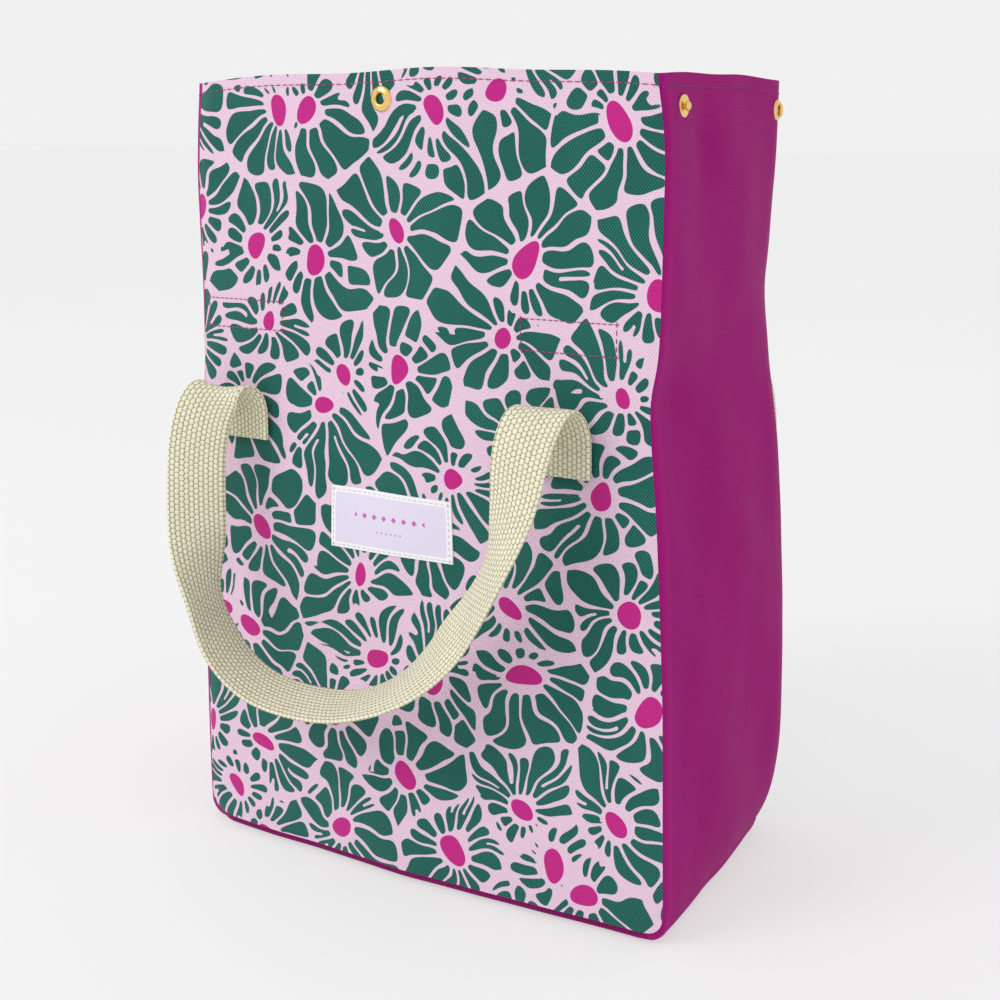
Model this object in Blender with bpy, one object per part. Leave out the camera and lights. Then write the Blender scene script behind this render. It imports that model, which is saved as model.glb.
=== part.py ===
"""Foldable tote bag: two printed panels joined by one band that makes both gussets and the base.

Metres, +Z up. The bag stands on its base with the origin under its centre, X along its width and
Y through its depth, the labelled front at -Y. The mouth closes as a gable: the upper panels lean
in on FOLD_Z, their hem strips stay upright above RIDGE_Z, and each gusset tucks in between them
until its snap halves meet. Each webbing handle is sewn flat to its panel, curls forward over the
top of the sewn end and hangs as a loop that swings about the middle of that curl.
"""

import math

import bmesh
import bpy
from mathutils import Matrix, Vector

# Overall sizes
WIDTH = 0.230
DEPTH = 0.138
HEIGHT = 0.340
CORNER_RADIUS = 0.012
CLOTH = 0.0012
GAP = 0.0003

# Heights of the two folds that close the mouth
FOLD_Z = 0.222
RIDGE_Z = 0.318

# Base board
BOARD_THICKNESS = 0.002
BOARD_PLAY = 0.0015
BOARD_EDGE = 0.0006

# Label
LABEL_WIDTH = 0.062
LABEL_HEIGHT = 0.0265
LABEL_THICKNESS = 0.0007
LABEL_Z = 0.160

# Webbing handles
WEBBING_WIDTH = 0.025
WEBBING_THICKNESS = 0.002
HANDLE_HALF_SPREAD = 0.080
SEWN_BOTTOM_Z = 0.189
SEWN_TOP_Z = 0.205
CURL_RADIUS = 0.012
LOOP_DROP = 0.130
TWIST_SHARE = 0.34
CURL_STEPS = 12
LOOP_STEPS = 48
WEBBING_COLUMNS = 4

# Stitched rectangles above the handles, each with a patch behind it
STITCH_WIDTH = 0.042
STITCH_HEIGHT = 0.0105
STITCH_Z = 0.243
THREAD = 0.0007
PATCH_MARGIN = 0.003
PATCH_THICKNESS = 0.001

# Snaps
SNAP_BELOW_TOP = 0.012
SNAP_RADIUS = 0.0052
RING_HOLE_RADIUS = 0.0023
RING_THICKNESS = 0.0012
BALL_RADIUS = 0.0019
BALL_PLAY = 0.0004
CAP_THICKNESS = 0.0006
SNAP_FROM_SEAM = 0.021
SIDE_FLANGE = 0.0007
SIDE_BALL_HEIGHT = 0.0020
SIDE_SOCKET_THICKNESS = 0.0013
MID_FLANGE = 0.0010
MID_BALL_HEIGHT = 0.0028
MID_SOCKET_THICKNESS = 0.0020
SNAP_PATCH_SIDE = 0.018
SNAP_PATCH_THICKNESS = 0.0014
ROUND_SEGMENTS = 24

# Worked out from the sizes above
HALF_WIDTH = WIDTH / 2
HALF_DEPTH = DEPTH / 2
BAND_HALF_DEPTH = HALF_DEPTH - CLOTH - GAP
SNAP_Z = HEIGHT - SNAP_BELOW_TOP
WING_CLEARANCE = GAP + CAP_THICKNESS + GAP
SEWN_FACE = HALF_DEPTH + GAP
PIVOT_Y = SEWN_FACE + WEBBING_THICKNESS / 2 + CURL_RADIUS

FRONT, BACK = -1, 1
LEFT, RIGHT = -1, 1
FACE_NAMES = {FRONT: "front", BACK: "back"}
SIDE_NAMES = {LEFT: "left", RIGHT: "right"}

# Where an outline's two values and a depth go, for a sheet that lies square to each axis
AXIS_ORDER = {
    "x": lambda u, v, depth: (depth, u, v),
    "y": lambda u, v, depth: (u, depth, v),
    "z": lambda u, v, depth: (u, v, depth),
}


def clear_scene():
    """Remove every object that the startup scene holds."""
    for obj in list(bpy.data.objects):
        bpy.data.objects.remove(obj, do_unlink=True)


def finish(name, colour, roughness, metallic=0.0):
    """Make a Principled material from an RGB colour."""
    material = bpy.data.materials.new(name)
    material.use_nodes = True
    shader = material.node_tree.nodes["Principled BSDF"]
    shader.inputs["Base Color"].default_value = (*colour, 1.0)
    shader.inputs["Roughness"].default_value = roughness
    shader.inputs["Metallic"].default_value = metallic
    material.diffuse_color = (*colour, 1.0)
    return material


def make_finishes():
    """Make the materials that the pieces share copies of, by name."""
    return {
        "print": ("printed_canvas", (0.45, 0.40, 0.42), 0.85, 0.0),
        "plain": ("plum_canvas", (0.30, 0.02, 0.15), 0.85, 0.0),
        "webbing": ("cotton_webbing", (0.62, 0.58, 0.38), 0.9, 0.0),
        "thread": ("plum_thread", (0.35, 0.02, 0.18), 0.6, 0.0),
        "label": ("woven_label", (0.75, 0.72, 0.85), 0.5, 0.0),
        "board": ("grey_board", (0.35, 0.33, 0.30), 0.9, 0.0),
        "brass": ("brass", (0.80, 0.58, 0.22), 0.25, 1.0),
    }


def joint_empty(name, place, parent=None):
    """Put an empty on a joint's axis; pieces that turn there are parented to it."""
    empty = bpy.data.objects.new(name, None)
    empty.empty_display_size = 0.02
    bpy.context.collection.objects.link(empty)
    empty.parent = parent
    empty.location = Vector(place) - world_place(parent)
    return empty


def world_place(home):
    """Return where an empty lies in the world, or the origin for none."""
    place = Vector((0.0, 0.0, 0.0))
    while home is not None:
        place += home.location
        home = home.parent
    return place


def add_piece(name, shape, look, home=None):
    """Turn a bmesh drawn in world places into an object whose origin is its home's."""
    bmesh.ops.recalc_face_normals(shape, faces=shape.faces)
    bmesh.ops.translate(shape, verts=shape.verts, vec=-world_place(home))
    mesh = bpy.data.meshes.new(name)
    shape.to_mesh(mesh)
    shape.free()
    obj = bpy.data.objects.new(name, mesh)
    obj.parent = home
    bpy.context.collection.objects.link(obj)
    title, colour, roughness, metallic = LOOKS[look]
    mesh.materials.append(finish(f"{title}_{name}", colour, roughness, metallic))
    return obj


def smooth(obj, angle=math.radians(35)):
    """Shade a round piece smooth, with its sharp edges kept."""
    obj.data.shade_smooth()
    obj.data.set_sharp_from_angle(angle=angle)
    return obj


def soften(obj, width):
    """Round the edges of a stiff piece."""
    bevel = obj.modifiers.new("edges", "BEVEL")
    bevel.width = width
    bevel.segments = 2
    bevel.limit_method = "ANGLE"
    return obj


def slab(outline, low, high, along):
    """Draw a flat sheet: an outline in the two other axes, from low to high along one axis."""
    shape = bmesh.new()
    face = shape.faces.new([shape.verts.new(AXIS_ORDER[along](u, v, low)) for u, v in outline])
    grown = bmesh.ops.extrude_face_region(shape, geom=[face])
    moved = [part for part in grown["geom"] if isinstance(part, bmesh.types.BMVert)]
    bmesh.ops.translate(shape, verts=moved, vec=AXIS_ORDER[along](0.0, 0.0, high - low))
    return shape


def rectangle(u_low, u_high, v_low, v_high):
    """Return the corners of an upright rectangle."""
    return [(u_low, v_low), (u_high, v_low), (u_high, v_high), (u_low, v_high)]


def cradle(half_width, bottom, top, radius, steps=6):
    """Return a U-shaped path: down the left side, round both bottom corners and up the right."""
    path = [(-half_width, top)]
    for centre_x, start in ((-half_width + radius, math.pi), (half_width - radius, 1.5 * math.pi)):
        for step in range(steps + 1):
            turn = start + 0.5 * math.pi * step / steps
            path.append((centre_x + radius * math.cos(turn), bottom + radius + radius * math.sin(turn)))
    path.append((half_width, top))
    return path


def turned(profile, centre, axis):
    """Turn a closed profile of (radius, height) points about an axis through centre."""
    shape = bmesh.new()
    rings = []
    for step in range(ROUND_SEGMENTS):
        turn = 2 * math.pi * step / ROUND_SEGMENTS
        rings.append([shape.verts.new((r * math.cos(turn), r * math.sin(turn), h)) for r, h in profile])
    for step, ring in enumerate(rings):
        after = rings[(step + 1) % ROUND_SEGMENTS]
        for point in range(len(profile)):
            beyond = (point + 1) % len(profile)
            shape.faces.new((ring[point], after[point], after[beyond], ring[beyond]))
    bmesh.ops.remove_doubles(shape, verts=shape.verts, dist=1e-6)
    turn_to = Vector((0.0, 0.0, 1.0)).rotation_difference(Vector(axis)).to_matrix().to_4x4()
    bmesh.ops.transform(shape, matrix=Matrix.Translation(Vector(centre)) @ turn_to, verts=shape.verts)
    return shape


def ribbon(places, widths, normals, width, thickness):
    """Sweep a flat rectangle along places, square to each width direction and normal.

    The rectangle is split into columns across its width, so that a twist stays smooth.
    """
    shares = [2.0 * column / WEBBING_COLUMNS - 1.0 for column in range(WEBBING_COLUMNS + 1)]
    section = [(share, -1.0) for share in shares] + [(share, 1.0) for share in reversed(shares)]
    shape = bmesh.new()
    rings = []
    for place, across, normal in zip(places, widths, normals):
        rings.append([
            shape.verts.new(place + across * (a * width / 2) + normal * (b * thickness / 2))
            for a, b in section
        ])
    for ring, after in zip(rings, rings[1:]):
        for corner in range(len(section)):
            beyond = (corner + 1) % len(section)
            shape.faces.new((ring[corner], ring[beyond], after[beyond], after[corner]))
    shape.faces.new(rings[0][::-1])
    shape.faces.new(rings[-1])
    return shape


def build_shell():
    """Build the part of the bag below the fold: two panels, the U-shaped band and its board."""
    top = FOLD_Z - GAP / 2
    outer = cradle(HALF_WIDTH, 0.0, top, CORNER_RADIUS)
    inner = cradle(HALF_WIDTH - CLOTH, CLOTH, top, CORNER_RADIUS - CLOTH)
    for face, title in FACE_NAMES.items():
        panel = slab(outer, face * HALF_DEPTH, face * (HALF_DEPTH - CLOTH), "y")
        add_piece(f"{title}_panel", panel, "print")
    band = slab(outer + inner[::-1], -BAND_HALF_DEPTH, BAND_HALF_DEPTH, "y")
    add_piece("gusset_band", band, "plain")
    board_x = HALF_WIDTH - CORNER_RADIUS
    board_y = HALF_DEPTH - CLOTH - BOARD_PLAY
    board = slab(
        rectangle(-board_x, board_x, -board_y, board_y),
        CLOTH + GAP,
        CLOTH + GAP + BOARD_THICKNESS,
        "z",
    )
    soften(add_piece("base_board", board, "board"), BOARD_EDGE)


def build_label():
    """Build the woven label on the front panel."""
    outline = rectangle(
        -LABEL_WIDTH / 2, LABEL_WIDTH / 2, LABEL_Z - LABEL_HEIGHT / 2, LABEL_Z + LABEL_HEIGHT / 2
    )
    outer = -HALF_DEPTH - GAP - LABEL_THICKNESS
    add_piece("front_label", slab(outline, outer, -HALF_DEPTH - GAP, "y"), "label")


def build_upper_panel(face):
    """Build one upper panel, which leans in on the fold, with its stitched rectangles.

    Returns the empty on its fold, at the panel's inner face.
    """
    title = FACE_NAMES[face]
    inner = face * (HALF_DEPTH - CLOTH)
    fold = joint_empty(f"{title}_fold", (0.0, inner, FOLD_Z))
    outline = rectangle(-HALF_WIDTH, HALF_WIDTH, FOLD_Z + GAP / 2, RIDGE_Z - GAP / 2)
    add_piece(f"{title}_upper_panel", slab(outline, face * HALF_DEPTH, inner, "y"), "print", fold)
    for side, side_title in SIDE_NAMES.items():
        centre_x = side * HANDLE_HALF_SPREAD
        build_stitched_rectangle(f"{title}_{side_title}", face, centre_x, fold)
    return fold


def build_stitched_rectangle(title, face, centre_x, fold):
    """Build a rectangle of stitching outside a panel and the patch it holds inside."""
    half_w, half_h = STITCH_WIDTH / 2, STITCH_HEIGHT / 2
    outer = face * (HALF_DEPTH + GAP)
    thread = frame_slab(centre_x, STITCH_Z, half_w, half_h, THREAD, outer, outer + face * THREAD)
    add_piece(f"{title}_fold_stitch", thread, "thread", fold)
    half_w += PATCH_MARGIN
    half_h += PATCH_MARGIN
    near = face * (HALF_DEPTH - CLOTH - GAP)
    patch = slab(
        rectangle(centre_x - half_w, centre_x + half_w, STITCH_Z - half_h, STITCH_Z + half_h),
        near,
        near - face * PATCH_THICKNESS,
        "y",
    )
    add_piece(f"{title}_fold_patch", patch, "plain", fold)


def frame_slab(centre_x, centre_z, half_w, half_h, line, low, high):
    """Draw a thin rectangular frame, one thread wide, from low to high along Y."""
    shape = bmesh.new()
    rings = []
    for inset in (-line / 2, line / 2):
        outline = rectangle(
            centre_x - half_w + inset,
            centre_x + half_w - inset,
            centre_z - half_h + inset,
            centre_z + half_h - inset,
        )
        rings.append([[shape.verts.new((x, y, z)) for x, z in outline] for y in (low, high)])
    (outer_low, outer_high), (inner_low, inner_high) = rings
    for corner in range(4):
        beyond = (corner + 1) % 4
        for first, second in (
            (outer_low, outer_high),
            (outer_high, inner_high),
            (inner_high, inner_low),
            (inner_low, outer_low),
        ):
            shape.faces.new((first[corner], first[beyond], second[beyond], second[corner]))
    return shape


def build_hem_strip(face, fold):
    """Build the hem strip above the ridge, which stays upright while the mouth closes.

    Returns the empty on the ridge, at the panel's outer face.
    """
    title = FACE_NAMES[face]
    ridge = joint_empty(f"{title}_ridge", (0.0, face * HALF_DEPTH, RIDGE_Z), fold)
    outline = rectangle(-HALF_WIDTH, HALF_WIDTH, RIDGE_Z + GAP / 2, HEIGHT)
    strip = slab(outline, face * HALF_DEPTH, face * (HALF_DEPTH - CLOTH), "y")
    add_piece(f"{title}_hem_strip", strip, "print", ridge)
    build_middle_snap(face, ridge)
    return ridge


def ring_profile(hole, outer, thickness):
    """Return a ring's profile, rounded on its show side."""
    edge = thickness * 0.45
    return [
        (hole, 0.0),
        (outer, 0.0),
        (outer, thickness - edge),
        (outer - edge, thickness),
        (hole + edge, thickness),
        (hole, thickness - edge),
    ]


def stud_profile(flange, height):
    """Return a stud's profile: a flange and a ball on a short neck."""
    neck = BALL_RADIUS * 0.75
    rise = height - flange
    return [
        (0.0, 0.0),
        (SNAP_RADIUS, 0.0),
        (SNAP_RADIUS, flange * 0.7),
        (SNAP_RADIUS * 0.8, flange),
        (neck, flange),
        (BALL_RADIUS, flange + rise * 0.5),
        (BALL_RADIUS * 0.8, flange + rise * 0.85),
        (0.0, height),
    ]


def cap_profile(thickness):
    """Return a low domed cap's profile."""
    return [(0.0, 0.0), (SNAP_RADIUS, 0.0), (SNAP_RADIUS * 0.85, thickness * 0.8), (0.0, thickness)]


def build_middle_snap(face, ridge):
    """Build one half of the snap that holds the two hem strips together."""
    title = FACE_NAMES[face]
    outward = (0.0, float(face), 0.0)
    inward = (0.0, float(-face), 0.0)
    outer = face * (HALF_DEPTH + GAP)
    ring = turned(ring_profile(RING_HOLE_RADIUS, SNAP_RADIUS, RING_THICKNESS), (0.0, outer, SNAP_Z), outward)
    smooth(add_piece(f"{title}_snap_ring", ring, "brass", ridge))
    near = face * (HALF_DEPTH - CLOTH - GAP)
    half = SNAP_PATCH_SIDE / 2
    far = near - face * SNAP_PATCH_THICKNESS
    patch = slab(rectangle(-half, half, SNAP_Z - half, SNAP_Z + half), near, far, "y")
    add_piece(f"{title}_snap_patch", patch, "plain", ridge)
    seat = (0.0, far - face * GAP, SNAP_Z)
    if face == FRONT:
        profile = ring_profile(BALL_RADIUS + BALL_PLAY, SNAP_RADIUS, MID_SOCKET_THICKNESS)
        smooth(add_piece("front_snap_socket", turned(profile, seat, inward), "brass", ridge))
    else:
        profile = stud_profile(MID_FLANGE, MID_BALL_HEIGHT)
        smooth(add_piece("back_snap_stud", turned(profile, seat, inward), "brass", ridge))


def build_gusset_centre(side):
    """Build the triangle of a gusset that tips inwards on the fold."""
    title = SIDE_NAMES[side]
    inner = side * (HALF_WIDTH - CLOTH)
    base = joint_empty(f"{title}_gusset_fold", (inner, 0.0, FOLD_Z))
    bottom = FOLD_Z + GAP / 2
    foot = BAND_HALF_DEPTH - crease_inset()
    outline = [(-foot, bottom), (foot, bottom), (0.0, RIDGE_Z - crease_drop())]
    triangle = slab(outline, inner, side * HALF_WIDTH, "x")
    add_piece(f"{title}_gusset_centre", triangle, "plain", base)


def crease_slope():
    """Return how far the diagonal crease runs along Y for each metre up."""
    return BAND_HALF_DEPTH / (RIDGE_Z - FOLD_Z)


def crease_inset():
    """Return how far along Y the centre triangle stops short of the diagonal crease."""
    return GAP * math.hypot(1.0, crease_slope())


def crease_drop():
    """Return how far below the ridge the centre triangle's tip lies."""
    return crease_inset() / crease_slope()


def build_wing(face, side, fold):
    """Build the part of a gusset between its diagonal crease and a panel's seam."""
    title = f"{FACE_NAMES[face]}_{SIDE_NAMES[side]}"
    inner = side * (HALF_WIDTH - CLOTH)
    seam = joint_empty(f"{title}_wing_seam", seam_place(face, side, FOLD_Z), fold)
    bottom, top = FOLD_Z + GAP, RIDGE_Z - GAP / 2
    inset = crease_inset()
    outline = [
        (face * BAND_HALF_DEPTH, bottom),
        (face * inset, top),
        (face * BAND_HALF_DEPTH, top),
    ]
    add_piece(f"{title}_wing", slab(outline, inner, side * HALF_WIDTH, "x"), "plain", seam)


def seam_place(face, side, height):
    """Return the point of a corner seam that a wing turns about, at a height."""
    return (side * (HALF_WIDTH - CLOTH), face * (HALF_DEPTH - CLOTH - WING_CLEARANCE), height)


def build_hem_wing(face, side, ridge):
    """Build one half of a gusset's hem, with the snap half that it carries."""
    title = f"{FACE_NAMES[face]}_{SIDE_NAMES[side]}"
    inner = side * (HALF_WIDTH - CLOTH)
    seam = joint_empty(f"{title}_hem_seam", seam_place(face, side, RIDGE_Z), ridge)
    ends = sorted((face * BAND_HALF_DEPTH, face * GAP / 2))
    outline = rectangle(*ends, RIDGE_Z + GAP / 2, HEIGHT)
    add_piece(f"{title}_hem_wing", slab(outline, inner, side * HALF_WIDTH, "x"), "plain", seam)
    along = face * (HALF_DEPTH - SNAP_FROM_SEAM)
    outward = (float(side), 0.0, 0.0)
    inward = (float(-side), 0.0, 0.0)
    seat = (side * (HALF_WIDTH + GAP), along, SNAP_Z)
    if face == FRONT:
        profile = stud_profile(SIDE_FLANGE, SIDE_BALL_HEIGHT)
        name = f"{title}_side_stud"
    else:
        profile = ring_profile(BALL_RADIUS + BALL_PLAY, SNAP_RADIUS, SIDE_SOCKET_THICKNESS)
        name = f"{title}_side_socket"
    smooth(add_piece(name, turned(profile, seat, outward), "brass", seam))
    cap_seat = (inner - side * GAP, along, SNAP_Z)
    cap = turned(cap_profile(CAP_THICKNESS), cap_seat, inward)
    smooth(add_piece(f"{title}_side_cap", cap, "brass", seam))


def build_handle(face):
    """Build one handle: two sewn ends, two curls over them and the hanging loop."""
    title = FACE_NAMES[face]
    hinge = joint_empty(f"{title}_handle_hinge", (0.0, face * PIVOT_Y, SEWN_TOP_Z))
    for side, side_title in SIDE_NAMES.items():
        centre_x = side * HANDLE_HALF_SPREAD
        ends = (centre_x - WEBBING_WIDTH / 2, centre_x + WEBBING_WIDTH / 2)
        outline = rectangle(*ends, SEWN_BOTTOM_Z, SEWN_TOP_Z - GAP / 2)
        far = face * (SEWN_FACE + WEBBING_THICKNESS)
        sewn = slab(outline, face * SEWN_FACE, far, "y")
        add_piece(f"{title}_{side_title}_handle_end", sewn, "webbing")
        add_piece(f"{title}_{side_title}_handle_curl", curl(face, centre_x), "webbing")
    smooth(add_piece(f"{title}_handle_loop", handle_loop(face), "webbing", hinge))


def curl(face, centre_x):
    """Draw the half turn of webbing over the top of a sewn end."""
    short = GAP / CURL_RADIUS
    places, widths, normals = [], [], []
    for step in range(CURL_STEPS + 1):
        turn = short / 2 + (math.pi - short) * step / CURL_STEPS
        normal = Vector((0.0, -face * math.cos(turn), math.sin(turn)))
        places.append(Vector((centre_x, face * PIVOT_Y, SEWN_TOP_Z)) + normal * CURL_RADIUS)
        widths.append(Vector((1.0, 0.0, 0.0)))
        normals.append(normal)
    return ribbon(places, widths, normals, WEBBING_WIDTH, WEBBING_THICKNESS)


def handle_loop(face):
    """Draw the loop: half an ellipse, turned flat at its foot by a quarter twist in each leg."""
    level = face * (PIVOT_Y + CURL_RADIUS)
    start = Vector((0.0, level, SEWN_TOP_Z - GAP / 2))
    places, widths, normals = [], [], []
    for step in range(LOOP_STEPS + 1):
        share = step / LOOP_STEPS
        turn = math.pi * share
        place = start + Vector((HANDLE_HALF_SPREAD * math.cos(turn), 0.0, -LOOP_DROP * math.sin(turn)))
        tangent = Vector((-HANDLE_HALF_SPREAD * math.sin(turn), 0.0, -LOOP_DROP * math.cos(turn)))
        tangent.normalize()
        in_plane = Vector((-tangent.z, 0.0, tangent.x))
        through = Vector((0.0, float(face), 0.0))
        leg = min(1.0, min(share, 1.0 - share) / TWIST_SHARE)
        twist = 0.5 * math.pi * leg * leg * (3.0 - 2.0 * leg)
        across = in_plane * math.cos(twist) + through * math.sin(twist)
        places.append(place)
        widths.append(across)
        normals.append(tangent.cross(across).normalized())
    return ribbon(places, widths, normals, WEBBING_WIDTH, WEBBING_THICKNESS)


def main():
    """Build the whole bag at rest, standing open with both handles hanging."""
    clear_scene()
    build_shell()
    build_label()
    for face in FACE_NAMES:
        fold = build_upper_panel(face)
        ridge = build_hem_strip(face, fold)
        for side in SIDE_NAMES:
            build_wing(face, side, fold)
            build_hem_wing(face, side, ridge)
        build_handle(face)
    for side in SIDE_NAMES:
        build_gusset_centre(side)


LOOKS = make_finishes()
main()
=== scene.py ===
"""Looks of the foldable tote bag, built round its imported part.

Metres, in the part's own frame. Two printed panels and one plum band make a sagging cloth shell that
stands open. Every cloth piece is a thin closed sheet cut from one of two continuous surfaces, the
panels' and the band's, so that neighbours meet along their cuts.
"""

import logging
import math
from collections.abc import Callable, Sequence
from dataclasses import dataclass, field
from enum import Enum

import bpy
import numpy as np
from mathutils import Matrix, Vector


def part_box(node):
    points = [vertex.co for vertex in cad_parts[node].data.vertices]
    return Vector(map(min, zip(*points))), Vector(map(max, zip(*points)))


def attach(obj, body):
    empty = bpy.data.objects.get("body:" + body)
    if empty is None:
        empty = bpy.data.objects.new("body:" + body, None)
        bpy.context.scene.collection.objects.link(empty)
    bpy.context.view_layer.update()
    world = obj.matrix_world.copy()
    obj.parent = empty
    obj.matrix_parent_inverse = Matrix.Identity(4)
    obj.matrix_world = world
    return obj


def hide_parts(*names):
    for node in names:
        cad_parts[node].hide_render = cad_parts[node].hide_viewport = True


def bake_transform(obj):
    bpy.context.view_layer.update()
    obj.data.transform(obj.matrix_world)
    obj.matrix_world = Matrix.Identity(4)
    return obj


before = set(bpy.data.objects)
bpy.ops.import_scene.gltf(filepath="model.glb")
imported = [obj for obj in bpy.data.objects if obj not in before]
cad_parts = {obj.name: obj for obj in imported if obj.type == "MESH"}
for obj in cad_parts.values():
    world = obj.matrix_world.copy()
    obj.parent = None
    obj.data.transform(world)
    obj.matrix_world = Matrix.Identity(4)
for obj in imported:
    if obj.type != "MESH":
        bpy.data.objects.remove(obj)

LOG = logging.getLogger("tote_bag")
MM = 0.001
Socket = bpy.types.NodeSocket
Value = float | Socket
Stops = tuple[tuple[float, float], ...]


class Facing(Enum):
    """One of two opposite directions, by its sign."""

    @property
    def title(self) -> str:
        """Name used for this direction in the part's bodies and nodes."""
        return self.name.lower()


class Face(Facing):
    """The two printed panels, by the sign of the Y that they face."""

    FRONT = -1
    BACK = 1


class Side(Facing):
    """The two gussets, by the sign of the X that they face."""

    LEFT = -1
    RIGHT = 1


class Slot(Enum):
    """The record's material slots."""

    PRINT = "printed_canvas"
    PLUM = "plum_canvas"
    WEBBING = "cotton_webbing"
    THREAD = "plum_thread"
    LABEL = "woven_label"
    BRASS = "brass_snaps"


def linear(red: int, green: int, blue: int) -> tuple[float, float, float, float]:
    """Turn a display colour from 0 to 255 into the linear one that a shader takes.

    Args:
        red: Red as displayed.
        green: Green as displayed.
        blue: Blue as displayed.

    Returns:
        The linear colour with an alpha of 1.
    """
    shares = [channel / 255 for channel in (red, green, blue)]
    made = [s / 12.92 if s <= 0.04045 else ((s + 0.055) / 1.055) ** 2.4 for s in shares]
    return made[0], made[1], made[2], 1.0


def eased(share: np.ndarray) -> np.ndarray:
    """Ease a share smoothly from 0 to 1."""
    held = np.clip(share, 0.0, 1.0)
    return held * held * (3.0 - 2.0 * held)


def between(first: np.ndarray, second: np.ndarray, share: np.ndarray) -> np.ndarray:
    """Go from the first value to the second as the share runs from -1 to 1."""
    return first + (second - first) * (share + 1.0) / 2.0


def rounded_profile(stops: Stops, reach: float = 9.0) -> Callable[[np.ndarray], np.ndarray]:
    """Make a smooth curve near a list of (height, value) stops in millimetres.

    Args:
        stops: Heights in rising order, each with its value.
        reach: How far each way the straight lines between stops are averaged.

    Returns:
        A function from heights in metres to values in metres.
    """
    heights = [stop[0] for stop in stops]
    values = [stop[1] for stop in stops]

    def curve(height: np.ndarray) -> np.ndarray:
        """Read the averaged line at each height."""
        offsets = np.linspace(-reach, reach, 9)
        weights = 1.0 - np.abs(offsets) / (reach * 1.2)
        read = [w * np.interp(height / MM + o, heights, values) for o, w in zip(offsets, weights)]
        return np.sum(read, axis=0) / weights.sum() * MM

    return curve


def middle_of(node: str) -> tuple[float, float, float]:
    """Middle of a node's box."""
    low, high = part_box(node)
    return (low[0] + high[0]) / 2, (low[1] + high[1]) / 2, (low[2] + high[2]) / 2


# ---------------------------------------------------------------------------------------------
# Shape of the standing bag
# ---------------------------------------------------------------------------------------------


@dataclass(frozen=True)
class Corner:
    """How one upright corner of the bag is rounded.

    Attributes:
        inset: How far the seam stands in from the side's plane, as (height, inset) stops in mm.
        length: Depth over which the gusset curves from its seam out to its plane.
        drop: How far the panel's edge curls in towards the gusset.
        curl: Width over which the panel's edge curls.
    """

    inset: Stops
    length: float
    drop: float
    curl: float


@dataclass(frozen=True)
class Swell:
    """A smooth rise of the cloth round one height.

    Attributes:
        depth: How far it stands out in mm; a dent's depth is negative.
        height: Where it is greatest.
        reach: Distance over which it fades.
    """

    depth: float
    height: float
    reach: float

    def at(self, height: np.ndarray) -> np.ndarray:
        """How far it stands out in mm at each height."""
        return self.depth * np.exp(-(((height - self.height) / self.reach) ** 2))


@dataclass(frozen=True)
class Ripple:
    """Soft uneven wrinkles where two slanting waves cross.

    Attributes:
        depth: How far they stand out in mm.
        first: First wave: its length across and its length up for each radian, and its start.
        second: Second wave, in the same way.
    """

    depth: float
    first: tuple[float, float, float]
    second: tuple[float, float, float]

    def at(self, across: np.ndarray, up: np.ndarray) -> np.ndarray:
        """How far the cloth stands out in mm at each place."""
        one, two = (np.sin(across / a + up / b + start) for a, b, start in (self.first, self.second))
        return self.depth * one * two


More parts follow.
